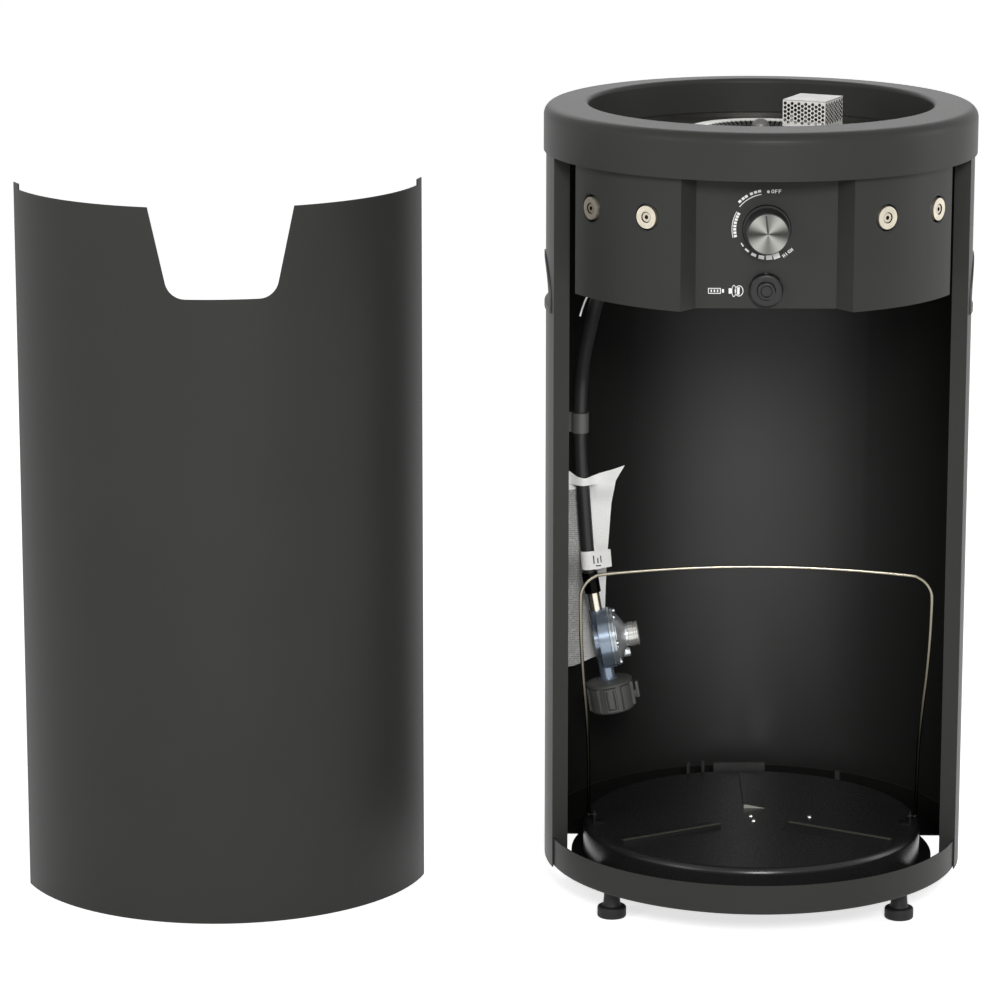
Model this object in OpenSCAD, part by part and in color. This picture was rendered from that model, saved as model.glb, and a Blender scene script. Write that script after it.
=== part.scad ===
// Gas fire column: round sheet-steel column with a ring burner on top, a control
// panel, a gas bottle bay with hose and regulator, and a lift-off curved door that
// stands beside it. Front is -Y, the origin is on the column's axis at the floor.

/* [Column] */
// Height of the column, floor to top of the ring
column_h = 750; // [720:1:800]
// Outside diameter of the round shell
shell_d = 395.4; // [390:0.2:404]
// Sheet thickness of the shell, panel, base and door
sheet_t = 1.2; // [0.8:0.1:1.6]
// Half of the angle that the door opening takes out of the shell
opening_half = 74; // [71:0.5:77]
// Depth of the flange folded in along each door post
post_flange = 15; // [10:1:18]
// Half width of the half-round hand-holds in the sides
handhold_half = 42; // [34:1:48]
// Height of the hand-holds' flat edge above the floor
handhold_z = 562; // [540:1:580]

/* [Top ring] */
// Height of the top ring's outer skirt
ring_h = 44; // [38:1:52]
// Diameter of the fire opening in the ring
ring_hole_d = 318; // [310:1:326]
// Sheet thickness of the ring
ring_t = 1.6; // [1.2:0.1:2]
// Radius of the ring's outer top edge
ring_edge_r = 10; // [6:1:12]
// Depth of the bowl from the ring's top to the ledge
bowl_depth = 32.6; // [30:0.2:36]

/* [Base and feet] */
// Height of the base above the floor
foot_h = 28; // [24:1:34]
// Height of the base rim
base_rim_h = 28; // [24:1:40]
// Length of each floor vent
vent_l = 100; // [60:1:110]
// Width of each floor vent
vent_w = 19; // [10:1:20]
// Diameter of a foot's pad
foot_pad_d = 27; // [26:0.5:34]
// Sideways distance of a foot from the axis
foot_x = 134; // [126:1:138]
// Front or back distance of a foot from the axis
foot_y = 115; // [108:1:116]
// Diameter of a foot's threaded stud
foot_stud_d = 8; // [6:1:10]

/* [Bottle tray and bail] */
// Diameter of the bottle tray
tray_d = 321; // [316:1:328]
// Height of the tray's top above the base floor
tray_rise = 31.8; // [22:0.2:34]
// Height that a louvre stands up from the tray
louvre_h = 3.5; // [1:0.5:4]
// Width of a louvre
louvre_w = 21; // [14:1:26]
// Wire diameter of the bail
wire_d = 4; // [3:0.5:5]
// Height of the bail's bar above its pivots
bail_h = 247; // [220:1:270]
// Half of the distance between the bail's lower ends
bail_foot = 155.5; // [150:0.5:156]
// How far the bail leans forward at rest, in degrees
bail_lean = 7.8; // [4:0.2:12]

/* [Control panel] */
// How far the panel wings lie inside the shell's outside
panel_inset = 7.7; // [6.5:0.1:9]
// Half of the angle that the panel covers
panel_half = 63.8; // [62:0.2:66]
// Distance of the flat centre face from the axis
panel_face = 156; // [154:0.5:158]
// Half width of the flat centre face
panel_flat_half = 63; // [56:1:66]
// Height of the panel below the ring
panel_h = 121; // [116:1:126]
// Drop of the knob's axis below the column's top
knob_drop = 93; // [90:0.5:96]
// Drop of the igniter's axis below the column's top
igniter_drop = 147.5; // [145:0.5:150]
// Diameter of the knob's brushed face
knob_d = 37; // [34:0.5:40]
// Depth of the knob
knob_len = 22; // [18:1:26]
// Travel of the knob when pushed in
knob_travel = 5; // [3:0.5:6]
// Outside diameter of the igniter's cap
igniter_d = 30.5; // [27:0.5:32]
// Travel of the igniter's button
button_travel = 4; // [2:0.5:4]
// Diameter of a door magnet
magnet_d = 20.5; // [20:0.5:24]
// Drop of the magnets below the column's top
magnet_drop = 82.5; // [80:0.5:85]

/* [Burner] */
// Outside diameter of the ring burner
burner_d = 140; // [132:1:148]
// Width of the ring burner's tube
burner_w = 22; // [18:1:24]
// Height of the ring burner above the pan
burner_h = 10; // [8:0.5:11]
// Width of the electrode cage
cage_w = 42; // [38:1:44]
// Depth of the electrode cage
cage_l = 46; // [42:1:48]

/* [Gas line] */
// Outside diameter of the hose
hose_d = 13; // [12:0.5:13]
// Diameter of the regulator's flange
regulator_d = 58; // [52:1:60]
// Diameter of the coupling nut over its ribs
nut_d = 46; // [44:1:48]
// Height of the coupling nut
nut_h = 31; // [28:1:36]
// Lean of the hanging regulator, in degrees
hang_lean = 10; // [8:1:12]

/* [Door] */
// Angle between the door's edge and the post
door_gap = 1.4; // [0.8:0.1:3]
// Height of the two small tabs on the door's top corners
door_tab_h = 5.5; // [3:0.5:8]
// Width of each tab
door_tab_w = 14; // [8:1:20]
// Depth of the notch in the door's top edge
notch_depth = 83; // [80:1:100]
// Half width of the notch at its top
notch_top_half = 66; // [64:1:74]
// Half width of the notch at its bottom
notch_bottom_half = 48; // [40:1:52]
// Sideways place of the door standing beside the column
door_x = -507; // [-540:1:-480]
// Front-back place of the standing door
door_y = 49; // [20:1:80]
// Turn of the standing door, in degrees
door_yaw = 5.5; // [0:0.5:8]

/* [Clearances] */
// Radial clearance of a pin or shaft that turns
running = 0.05; // [0.03:0.01:0.08]
// Clearance of pieces that pass each other or seat side by side
seat = 0.3; // [0.2:0.05:0.4]

/* [Hidden] */
$fn = 96;
eps = 0.01;

// Finishes
anthracite = "#464844";
black = "#1c1d1c";
steel = "#b9bab6";
zinc = "#93a0a8";
brass = "#c0a060";
nickel = "#d8cfb8";
white = "#eeeeea";

// Levels
shell_r = shell_d / 2;
shell_in = shell_r - sheet_t;
ring_fit = 0.7;
ring_r = shell_r + ring_fit + ring_t;
ring_z = column_h - ring_h;
ring_lap = 28;
ring_slope = 1.5;
ring_inner_r = 4;
ring_under = column_h - ring_slope - ring_t;
hole_r = ring_hole_d / 2;
ledge_w = 9;
ledge_z = column_h - bowl_depth;
base_z = foot_h;
base_top = base_z + base_rim_h;
base_r = shell_in - seat;
floor_z = base_z + sheet_t;
tray_r = tray_d / 2;
tray_z = floor_z + tray_rise;
tray_edge_r = 6;

// Points of an arc about a centre
function arc(c, r, a0, a1, n = 8) =
    [for (i = [0:n]) c + r * [cos(a0 + (a1 - a0) * i / n), sin(a0 + (a1 - a0) * i / n)]];
function unit(v) = v / norm(v);
function tangent(p, i) = unit(p[min(i + 1, len(p) - 1)] - p[max(i - 1, 0)]);
function carried(n, t) = unit(n - (n * t) * t);
// Side direction of a tube at each route point, carried along without twist
function sides_of(p, n0) =
    [for (i = 0, n = carried(n0, tangent(p, 0)); i < len(p); i = i + 1,
        n = i < len(p) ? carried(n, tangent(p, i)) : n) n];

// Solid round tube swept along a route
module swept(route, r, sides, seed) {
    side = sides_of(route, seed);
    count = len(route);
    points = [for (i = [0:count - 1], k = [0:sides - 1])
        let (t = tangent(route, i), a = 360 * k / sides)
            route[i] + r * (cos(a) * side[i] + sin(a) * cross(t, side[i]))];
    skin = [for (i = [0:count - 2], k = [0:sides - 1])
        let (a = i * sides + k, b = i * sides + (k + 1) % sides)
            each [[a, a + sides, b], [b, a + sides, b + sides]]];
    start_cap = [for (k = [1:sides - 2]) [0, k, k + 1]];
    last = (count - 1) * sides;
    end_cap = [for (k = [1:sides - 2]) [last, last + k + 1, last + k]];
    polyhedron(points, concat(skin, start_cap, end_cap), convexity = 8);
}

// Turns +X into the direction at an angle from the front, seen from above
module facing(a) { rotate([0, 0, a - 90]) children(); }
module both_sides() { children(); mirror([1, 0, 0]) children(); }
// Pie slice about the front, for angles under 90 degrees
module front_sector(half) {
    reach = 5 * ring_r;
    polygon([[0, 0], [-reach * sin(half), -reach * cos(half)], [reach * sin(half), -reach * cos(half)]]);
}
module tube(r_out, r_in, h) {
    difference() {
        cylinder(h = h, r = r_out);
        translate([0, 0, -eps]) cylinder(h = h + 2 * eps, r = r_in);
    }
}
// Round bar along +Y from y0 to y1
module bar_y(r, y0, y1) { translate([0, y0, 0]) rotate([-90, 0, 0]) cylinder(h = y1 - y0, r = r); }
// Round bar along +X from x0 to x1
module bar_x(r, x0, x1) { translate([x0, 0, 0]) rotate([0, 90, 0]) cylinder(h = x1 - x0, r = r); }

// Column shell
shell_top = ring_z + ring_lap;
post_z = base_top + 0.5;
post_top = ring_z + 20;
post_lift = 5;
handhold_straight = 4;
trim_lip = 3;
trim_in = 2;
trim_t = 1.3;
base_screw_z = base_z + base_rim_h / 2;
base_screw_r = 2;
base_screw_angles = [100, 140, 180, 220, 260];
ring_bracket_angles = [85, 145, 215, 275];
ring_screw_r = 2.5;
ring_screw_z = ring_z + 14;

// Half-round outline that stands on its flat edge, grown or shrunk by g
module handhold_outline(g) {
    half = handhold_half + g;
    polygon(concat([[-half, -g], [half, -g]], arc([0, handhold_straight], half, 0, 180, 24)));
}
module handhold_bar(g) {
    reach = 0.3 * shell_r;
    translate([shell_r - reach / 2, 0, handhold_z]) rotate([90, 0, 90]) linear_extrude(reach)
        handhold_outline(g);
}
module column_shell() {
    color(anthracite) difference() {
        union() {
            translate([0, 0, base_z]) linear_extrude(shell_top - base_z) difference() {
                circle(shell_r);
                circle(shell_in);
                front_sector(opening_half);
            }
            both_sides() facing(opening_half)
                translate([shell_r - post_flange, 0, post_z])
                    cube([post_flange - sheet_t / 2, sheet_t, post_top - post_z]);
            both_sides() facing(opening_half)
                translate([shell_r - post_flange, 0, floor_z + post_lift])
                    cube([base_r - sheet_t - seat - shell_r + post_flange, sheet_t,
                        post_z - floor_z - post_lift + eps]);
        }
        both_sides() handhold_bar(0);
        for (a = base_screw_angles) facing(a) translate([0, 0, base_screw_z])
            bar_x(base_screw_r + running, shell_in - 5, shell_r + 5);
        for (a = ring_bracket_angles) facing(a) translate([0, 0, ring_screw_z])
            bar_x(ring_screw_r + running, shell_in - 5, shell_r + 5);
    }
}
module shell_band(r_out, r_in) {
    translate([0, 0, handhold_z - 20]) tube(r_out, r_in, 2 * handhold_half);
}
module handhold_trims() {
    color(black) both_sides() difference() {
        intersection() {
            handhold_bar(trim_lip);
            shell_band(shell_r + running + trim_t, shell_in - running - trim_t);
        }
        handhold_bar(-trim_in);
        difference() {
            shell_band(shell_r + running, shell_in - running);
            handhold_bar(-running);
        }
    }
}

// Top ring, its brackets and screws
bracket_w = 22;
bracket_t = 2;
bracket_leg = 16;
bracket_z = ring_z + 4;
module top_ring() {
    outer_top = column_h - ring_slope;
    edge = [ring_r - ring_edge_r, outer_top - ring_edge_r];
    lip = [hole_r + ring_inner_r, column_h - ring_inner_r];
    color(anthracite) rotate_extrude() polygon(concat(
        [[ring_r, ring_z]],
        arc(edge, ring_edge_r, 0, 90),
        arc(lip, ring_inner_r, 90, 180, 6),
        [[hole_r, ledge_z], [hole_r - ledge_w, ledge_z], [hole_r - ledge_w, ledge_z - ring_t],
            [hole_r + ring_t, ledge_z - ring_t], [hole_r + ring_t, ring_under]],
        arc(edge, ring_edge_r - ring_t, 90, 0),
        [[ring_r - ring_t, ring_z]]));
}
module ring_brackets() {
    leg_r = sqrt(pow(shell_in - seat, 2) - pow(bracket_w / 2, 2));
    bevel = 0.6 * ring_edge_r;
    color(steel) for (a = ring_bracket_angles) facing(a) difference() {
        translate([0, bracket_w / 2, 0]) rotate([90, 0, 0]) linear_extrude(bracket_w)
            polygon([[leg_r, bracket_z], [leg_r, ring_under - bevel], [leg_r - bevel, ring_under],
                [leg_r - bracket_leg, ring_under], [leg_r - bracket_leg, ring_under - bracket_t],
                [leg_r - bevel - 1, ring_under - bracket_t], [leg_r - bracket_t, ring_under - bevel - 1],
                [leg_r - bracket_t, bracket_z]]);
        translate([0, 0, ring_screw_z]) bar_x(ring_screw_r + running, leg_r - 5, shell_r);
    }
}
module ring_screws() {
    leg_r = sqrt(pow(shell_in - seat, 2) - pow(bracket_w / 2, 2));
    color(steel) for (a = ring_bracket_angles) facing(a) translate([0, 0, ring_screw_z]) {
        bar_x(4.5, leg_r - bracket_t - 2.5, leg_r - bracket_t);
        bar_x(ring_screw_r, leg_r - bracket_t - eps, shell_r - seat);
    }
}

// Burner pan, shield and burner
pan_t = 1.2;
pan_flange_z = ledge_z;
pan_wall_r = hole_r - ledge_w - seat;
pan_floor_z = ledge_z - ring_t - pan_t - 0.8;
pan_top = pan_floor_z + pan_t;
mixer_r = 11;
mixer_wall = 1;
mixer_flange_r = 18;
mixer_flange_t = 1.3;
spacer_r = 4;
spacer_ring = 120;
shield_drop = 15;
shield_z = pan_floor_z - shield_drop;
shield_t = 1;
shield_hole_r = 54;
lead_r = 1.5;
electrode_at = [30, 16];
electrode_r = 4;
thermo_at = [42, 14];
thermo_r = 2.5;
burner_r = burner_d / 2;
burner_bottom = pan_top + mixer_flange_t;
burner_top = pan_top + burner_h;
hub_r = 16;
spoke_w = 14;
dome_r = 8.5;
cage_at = [49.5, 26];
cage_turn = 24;
cage_sheet = 0.8;
cage_top = column_h;
cage_foot = 10;
port_count = 72;
port_w = 1.4;
panel_screw_angles = [15, 52];
panel_screw_ring = hole_r - ledge_w / 2;
panel_screw_r = 2;
module panel_screw_places() {
    both_sides() for (a = panel_screw_angles) facing(a) translate([panel_screw_ring, 0, 0]) children();
}
module burner_pan() {
    color("#5b5a55") difference() {
        rotate_extrude() polygon([[0, pan_floor_z], [pan_wall_r, pan_floor_z], [pan_wall_r, pan_flange_z],
            [hole_r - seat, pan_flange_z], [hole_r - seat, pan_flange_z + pan_t],
            [pan_wall_r - pan_t, pan_flange_z + pan_t], [pan_wall_r - pan_t, pan_top], [0, pan_top]]);
        translate([0, 0, pan_floor_z - 1]) cylinder(h = pan_t + 2, r = mixer_r + 2);
        translate([electrode_at.x, electrode_at.y, pan_floor_z - 1])
            cylinder(h = pan_t + 2, r = electrode_r + seat);
        translate([thermo_at.x, thermo_at.y, pan_floor_z - 1]) cylinder(h = pan_t + 2, r = thermo_r + seat);
    }
}
// Plate under the pan with three bosses that carry it
module heat_shield() {
    color(steel) union() {
        translate([0, 0, shield_z]) tube(pan_wall_r - 1, shield_hole_r, shield_t);
        for (a = [30, 150, 270]) rotate([0, 0, a]) translate([spacer_ring, 0, shield_z])
            cylinder(h = pan_floor_z - shield_z, r = spacer_r);
    }
}
module ring_burner() {
    inner = burner_r - burner_w;
    bevel = 4;
    color(steel) difference() {
        union() {
            rotate_extrude() polygon([[inner, burner_bottom + 1], [burner_r, burner_bottom + 1],
                [burner_r, burner_top - bevel], [burner_r - bevel, burner_top],
                [inner + 2 * bevel, burner_top], [inner, burner_top - bevel]]);
            translate([-spoke_w / 2, -inner - 2, burner_bottom + 1])
                cube([spoke_w, 2 * inner + 4, burner_h - bevel - mixer_flange_t - 1]);
            translate([0, 0, burner_bottom]) cylinder(h = burner_h - bevel - mixer_flange_t, r = hub_r);
        }
        for (i = [0:port_count - 1]) rotate([0, 0, (i + 0.5) * 360 / port_count])
            translate([inner + 1, -port_w / 2, burner_top - bevel]) cube([2 * bevel - 2, port_w, bevel + 1]);
        translate([0, 0, burner_bottom - 1]) cylinder(h = burner_h, r = 3);
    }
}
module dome_nut() {
    base = burner_bottom + burner_h - 4 - mixer_flange_t;
    stud_r = 2.9;
    color(steel) union() {
        translate([0, 0, base]) rotate_extrude() polygon(concat([[0, 0], [dome_r, 0]],
            arc([0, 5], dome_r, 0, 90, 10)));
        translate([0, 0, burner_bottom + 0.5]) cylinder(h = base - burner_bottom, r = stud_r);
    }
}

// Mixer tube with air shutter and injector
valve_z = column_h - knob_drop;
injector_hex = 12.5;
injector_h = 18;
injector_z = valve_z - injector_h / 2;
mixer_z = valve_z + injector_h / 2;
window_z = mixer_z + 12;
window_h = 10;
window_w = 12;
shutter_t = 1.2;
shutter_margin = 3;
module air_windows(r) {
    for (a = [0, 180]) rotate([0, 0, a]) translate([0, -window_w / 2, window_z])
        cube([r, window_w, window_h]);
}
module mixer_tube() {
    color(steel) difference() {
        union() {
            translate([0, 0, mixer_z]) cylinder(h = burner_bottom - mixer_z, r = mixer_r);
            translate([0, 0, pan_top]) cylinder(h = mixer_flange_t, r = mixer_flange_r);
        }
        translate([0, 0, mixer_z - 1]) cylinder(h = burner_bottom - mixer_z + 2, r = mixer_r - mixer_wall);
        air_windows(mixer_r + 2);
    }
}
module air_shutter() {
    color(steel) difference() {
        translate([0, 0, window_z - shutter_margin])
            tube(mixer_r + running + shutter_t, mixer_r + running, window_h + 2 * shutter_margin);
        rotate([0, 0, 25]) air_windows(mixer_r + 5);
    }
}
injector_boss = 18;
feed_r = 4;
module injector() {
    bore = mixer_r - mixer_wall;
    color(brass) difference() {
        union() {
            translate([0, 0, injector_z]) cylinder(h = injector_h, r = injector_hex, $fn = 6);
            translate([0, 0, mixer_z]) cylinder(h = 8, r = bore - running);
            translate([0, 0, mixer_z + 8]) cylinder(h = 3, r = 3);
            translate([0, 0, valve_z]) bar_y(6, -injector_boss, 0);
        }
        translate([0, 0, valve_z]) cylinder(h = injector_h + 4, r = 0.8);
        translate([0, 0, valve_z]) bar_y(feed_r + running, -injector_boss - 1, -injector_boss + 6);
    }
}

// Gas valve, stem and feed tube
panel_out = -panel_face;
panel_in = panel_out + sheet_t;
valve_r = 15;
valve_len = 48;
valve_back = panel_in + valve_len;
valve_boss = 8;
nose_r = 8;
nose_len = 5;
stem_r = 4;
plug_r = 8;
plug_front = panel_in + 10;
plug_back = plug_front + 32;
plug_bore_back = plug_back - 2;
bezel_t = 2;
bezel_r = 21;
bezel_hole_r = 14;
knob_back = panel_out - bezel_t - knob_travel - 1;
knob_front = knob_back - knob_len;
stem_front = knob_front + 4;
stem_back = plug_front + 11;
union_x = 30;
hose_start_x = 48;
inlet_y = panel_in + 29;
module at_knob() { translate([0, 0, valve_z]) children(); }
module gas_valve() {
    color(brass) at_knob() difference() {
        union() {
            bar_y(valve_r, panel_in, valve_back);
            bar_y(nose_r, panel_out - nose_len, panel_in + 1);
            bar_y(6, valve_back - 1, valve_back + valve_boss);
            translate([0, inlet_y, 0]) bar_x(8, -union_x, -valve_r + 4);
        }
        bar_y(plug_r + running, plug_front, plug_back + running);
        bar_y(stem_r + 2 * running, panel_out - nose_len - 1, plug_front + 1);
        bar_y(feed_r + running, valve_back + valve_boss - 6, valve_back + valve_boss + 1);
    }
}
module valve_nut() {
    color(steel) at_knob() difference() {
        rotate([-90, 0, 0]) translate([0, 0, panel_out - 4]) cylinder(h = 4, r = 12, $fn = 6);
        bar_y(nose_r + running, panel_out - 5, panel_out + 1);
    }
}
module valve_plug() {
    color(brass) at_knob() difference() {
        bar_y(plug_r, plug_front + running, plug_back);
        bar_y(stem_r + running, plug_front - 1, plug_bore_back);
    }
}
module valve_stem() {
    color(steel) at_knob() bar_y(stem_r, stem_front, stem_back);
}
// Coil of round wire about an axis, with flat-lying ends
function coil(r, h, turns, rings) =
    [for (i = [0:turns * rings]) let (a = 360 * i / rings) [r * cos(a), r * sin(a), h * i / (turns * rings)]];
module valve_spring() {
    wire = 0.7;
    color(steel) at_knob() translate([0, stem_back + wire + 0.2, 0]) rotate([-90, 0, 0])
        swept(coil(stem_r - 2 * wire, plug_bore_back - stem_back - 2 * wire - 0.4, 6, 8), wire, 6, [1, 0, 0]);
}
module feed_tube() {
    color(steel) at_knob() difference() {
        bar_y(feed_r, valve_back + valve_boss - 6, -injector_boss + 6);
        bar_y(feed_r - 1, valve_back, 0);
    }
}
module tube_nuts() {
    nut = 6;
    color(brass) at_knob() for (y = [valve_back + valve_boss, -injector_boss - nut]) difference() {
        translate([0, y, 0]) rotate([-90, 0, 0]) cylinder(h = nut, r = 8, $fn = 6);
        bar_y(feed_r + running, y - 1, y + nut + 1);
    }
}

// Knob
knob_skirt_t = 2.4;
knob_boss_r = 7;
face_t = 1;
module control_knob() {
    r_front = knob_d / 2;
    r_back = r_front + 1.5;
    color(black) at_knob() difference() {
        union() {
            difference() {
                rotate([-90, 0, 0]) translate([0, 0, knob_front + face_t])
                    cylinder(h = knob_len - face_t, r1 = r_front, r2 = r_back);
                bar_y(r_front - knob_skirt_t, knob_front + 6, knob_back + 1);
            }
            bar_y(knob_boss_r, knob_front + 5, knob_back - 8);
        }
        bar_y(stem_r + running, stem_front, knob_back + 1);
    }
}
module knob_face() {
    color(steel) at_knob() bar_y(knob_d / 2 - 0.8, knob_front, knob_front + face_t);
}
module knob_bezel() {
    color(black) at_knob() difference() {
        rotate([90, 0, 0]) translate([0, 0, -panel_out])
            cylinder(h = bezel_t, r1 = bezel_r + 1, r2 = bezel_r);
        bar_y(bezel_hole_r, panel_out - bezel_t - 1, panel_out + 1);
    }
}

// Push-button igniter
igniter_z = column_h - igniter_drop;
igniter_nose_r = 11;
igniter_back = panel_in + 72;
igniter_wall = 1.5;
cap_front = panel_out - 9;
button_r = 8.5;
button_front = cap_front - 4;
battery_r = 7.2;
battery_l = 49.2;
battery_back = igniter_back - 3;
module at_igniter() { translate([0, 0, igniter_z]) children(); }
module igniter_body() {
    hollow = igniter_nose_r - igniter_wall;
    color(black) at_igniter() difference() {
        union() {
            bar_y(igniter_nose_r, cap_front + 2, igniter_back);
            bar_y(2, igniter_back - 1, igniter_back + 6);
        }
        bar_y(hollow, cap_front - 1, igniter_back - 3);
    }
}
module igniter_nut() {
    nut = 6;
    color(black) at_igniter() difference() {
        rotate([-90, 0, 0]) translate([0, 0, panel_in]) cylinder(h = nut, r = 15.5, $fn = 6);
        bar_y(igniter_nose_r + running, panel_in - 1, panel_in + nut + 1);
    }
}
module igniter_cap() {
    r = igniter_d / 2;
    color(black) at_igniter() difference() {
        rotate([90, 0, 0]) rotate_extrude() polygon(concat(
            [[button_r + running, -cap_front - 2], [igniter_nose_r + running, -cap_front - 2],
                [igniter_nose_r + running, -panel_out + seat], [r, -panel_out + seat]],
            arc([r - 3, -cap_front - 3], 3, 0, 90, 6),
            [[button_r + running, -cap_front]]));
        for (a = [0:60:300]) rotate([0, a, 0]) translate([0, 0, r + 4.2])
            bar_y(5, cap_front - 1, panel_out - 3);
    }
}
module igniter_button() {
    guide_r = igniter_nose_r - igniter_wall - seat;
    color(black) at_igniter() union() {
        rotate([90, 0, 0]) rotate_extrude() polygon(concat(
            [[0, -cap_front - 6], [button_r, -cap_front - 6]],
            arc([button_r - 2, -button_front - 2], 2, 0, 90, 5),
            [[button_r - 3, -button_front], [button_r - 4, -button_front - 1], [0, -button_front - 1]]));
        bar_y(guide_r, cap_front + 3, cap_front + 6 + eps);
    }
}
module igniter_battery() {
    color("#6d6a62") at_igniter() union() {
        bar_y(battery_r, battery_back - battery_l, battery_back);
        bar_y(2.7, battery_back - battery_l - 1.2, battery_back - battery_l + eps);
    }
}
module battery_spring() {
    wire = 0.6;
    front = cap_front + 6 + wire + 0.2;
    back = battery_back - battery_l - 1.2 - wire - 0.2;
    color(steel) at_igniter() translate([0, front, 0]) rotate([-90, 0, 0])
        swept(coil(5, back - front, 4, 8), wire, 6, [1, 0, 0]);
}

// Electrode, thermocouple and lead
electrode_low = shield_z - 10;
electrode_high = burner_top + 4;
module electrode_cage() {
    cage_z = burner_top + seat;
    pitch = 3.9;
    pore_r = 1.3;
    step = pitch * sin(60);
    tall = cage_top - cage_z;
    rows = floor((tall - cage_sheet - 1) / pitch);
    module perforated(w) {
        n = floor((w - 2 * cage_sheet) / step);
        linear_extrude(cage_sheet) difference() {
            translate([-w / 2, 0]) square([w, tall]);
            for (i = [0:n - 1], j = [0:rows - 1 - i % 2])
                translate([(i - (n - 1) / 2) * step, (j + (i % 2 + 1) / 2) * pitch]) circle(pore_r);
        }
    }
    color(steel) translate([cage_at.x, cage_at.y, 0]) rotate([0, 0, -cage_turn]) union() {
        translate([-cage_w / 2, -cage_l / 2, cage_top - cage_sheet]) cube([cage_w, cage_l, cage_sheet]);
        for (s = [0, 180]) rotate([0, 0, s]) {
            translate([0, -cage_l / 2 + cage_sheet, cage_z]) rotate([90, 0, 0]) perforated(cage_w);
            translate([cage_w / 2 - cage_sheet, 0, cage_z]) rotate([90, 0, 90]) perforated(cage_l);
        }
        translate([-cage_w / 2, -cage_foot - 3, pan_top]) {
            cube([cage_sheet, cage_foot, cage_z - pan_top + 2]);
            cube([4, cage_foot, cage_sheet]);
        }
        translate([cage_w / 2 - cage_sheet, cage_l / 2 - cage_foot, pan_top]) {
            cube([cage_sheet, cage_foot, cage_z - pan_top + 2]);
            cube([8, cage_foot, cage_sheet]);
        }
    }
}
module spark_electrode() {
    color(white) translate([electrode_at.x, electrode_at.y, 0]) union() {
        translate([0, 0, electrode_low]) cylinder(h = electrode_high - electrode_low, r = electrode_r);
        translate([0, 0, electrode_high - eps]) cylinder(h = 8, r = 1);
        translate([0, 0, pan_top]) cylinder(h = 2, r = electrode_r + 1);
    }
}
module thermocouple() {
    color(steel) translate([thermo_at.x, thermo_at.y, 0]) union() {
        translate([0, 0, shield_z - 14]) cylinder(h = burner_top + 8 - shield_z + 14, r = thermo_r);
        translate([0, 0, pan_top]) cylinder(h = 1.5, r = thermo_r + 2);
    }
}
// Route of the ignition lead from the igniter's terminal to the foot of the electrode
lead_start = [0, igniter_back + 6, igniter_z];
lead_end = [electrode_at.x, electrode_at.y, electrode_low];
lead_pull = 0.45 * norm(lead_end - lead_start);
function between(t, a, b, c, d) =
    pow(1 - t, 3) * a + 3 * t * pow(1 - t, 2) * b + 3 * t * t * (1 - t) * c + pow(t, 3) * d;
lead_route = [for (i = [0:14]) between(i / 14, lead_start, lead_start + [0, lead_pull, 0],
    lead_end - [0, 0, lead_pull], lead_end)];
module ignition_lead() { color(black) swept(lead_route, lead_r, 8, [1, 0, 0]); }

// Control panel
panel_r = shell_r - panel_inset;
panel_bottom = ring_z - panel_h;
panel_top = ledge_z - ring_t;
chamfer = [0.62, -0.785];
magnet_angles = [34.3, 55.3];
magnet_z = column_h - magnet_drop;
cup_r = magnet_d / 2 + 2.2;
cup_wall = 1;
cup_depth = 6;
cup_floor = panel_r - cup_depth - 1;
magnet_front = panel_r + 1.2;
// Area behind the panel's skin, moved back by t
module panel_area(t, half) {
    shift = t * (1 - chamfer.x) / -chamfer.y;
    corner = [panel_flat_half + shift, panel_out + t];
    far = corner + panel_r * chamfer;
    difference() {
        intersection() {
            circle(panel_r - t);
            front_sector(half);
        }
        polygon([[-corner.x, corner.y], [-far.x, far.y], [far.x, far.y], corner]);
    }
}
module at_magnets() {
    both_sides() for (a = magnet_angles) facing(a) translate([0, 0, magnet_z]) children();
}
module control_panel() {
    fold = 12;
    color(anthracite) difference() {
        union() {
            translate([0, 0, panel_bottom]) linear_extrude(panel_top - panel_bottom) difference() {
                panel_area(0, panel_half);
                panel_area(sheet_t, panel_half + 2);
            }
            translate([0, 0, panel_bottom]) linear_extrude(sheet_t) difference() {
                panel_area(0, panel_half);
                panel_area(fold, panel_half + 2);
            }
            translate([0, 0, panel_top - sheet_t]) linear_extrude(sheet_t) difference() {
                panel_area(0, panel_half);
                circle(pan_wall_r + 1);
            }
            both_sides() facing(panel_half) translate([panel_r - fold, -sheet_t, panel_bottom])
                cube([fold - sheet_t / 2, sheet_t, panel_top - panel_bottom]);
        }
        at_magnets() bar_x(cup_r + cup_wall + 0.1, panel_r - fold, panel_r + 5);
        at_knob() bar_y(nose_r + 0.1, panel_out - 5, panel_in + 5);
        at_igniter() bar_y(igniter_nose_r + 0.1, panel_out - 5, panel_in + 5);
        panel_screw_places() translate([0, 0, panel_top - 5]) cylinder(h = 10, r = panel_screw_r + running);
    }
}
module panel_screws() {
    head = 2.2;
    color(steel) panel_screw_places() {
        translate([0, 0, panel_top - sheet_t - head]) cylinder(h = head, r = 4);
        translate([0, 0, panel_top - sheet_t - eps]) cylinder(h = sheet_t + eps - running, r = panel_screw_r);
    }
}
module magnet_cups() {
    color(black) at_magnets() rotate([0, 90, 0]) union() {
        translate([0, 0, cup_floor]) cylinder(h = 1.2, r = cup_r + cup_wall);
        translate([0, 0, cup_floor]) tube(cup_r + cup_wall, cup_r, panel_r - cup_floor - 0.6);
    }
}
module door_magnets() {
    color(nickel) at_magnets() difference() {
        bar_x(magnet_d / 2, cup_floor + 1.2, magnet_front);
        bar_x(4.8, magnet_front - 2.5, magnet_front + 1);
        bar_x(2 + running, cup_floor, magnet_front);
    }
}
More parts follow.
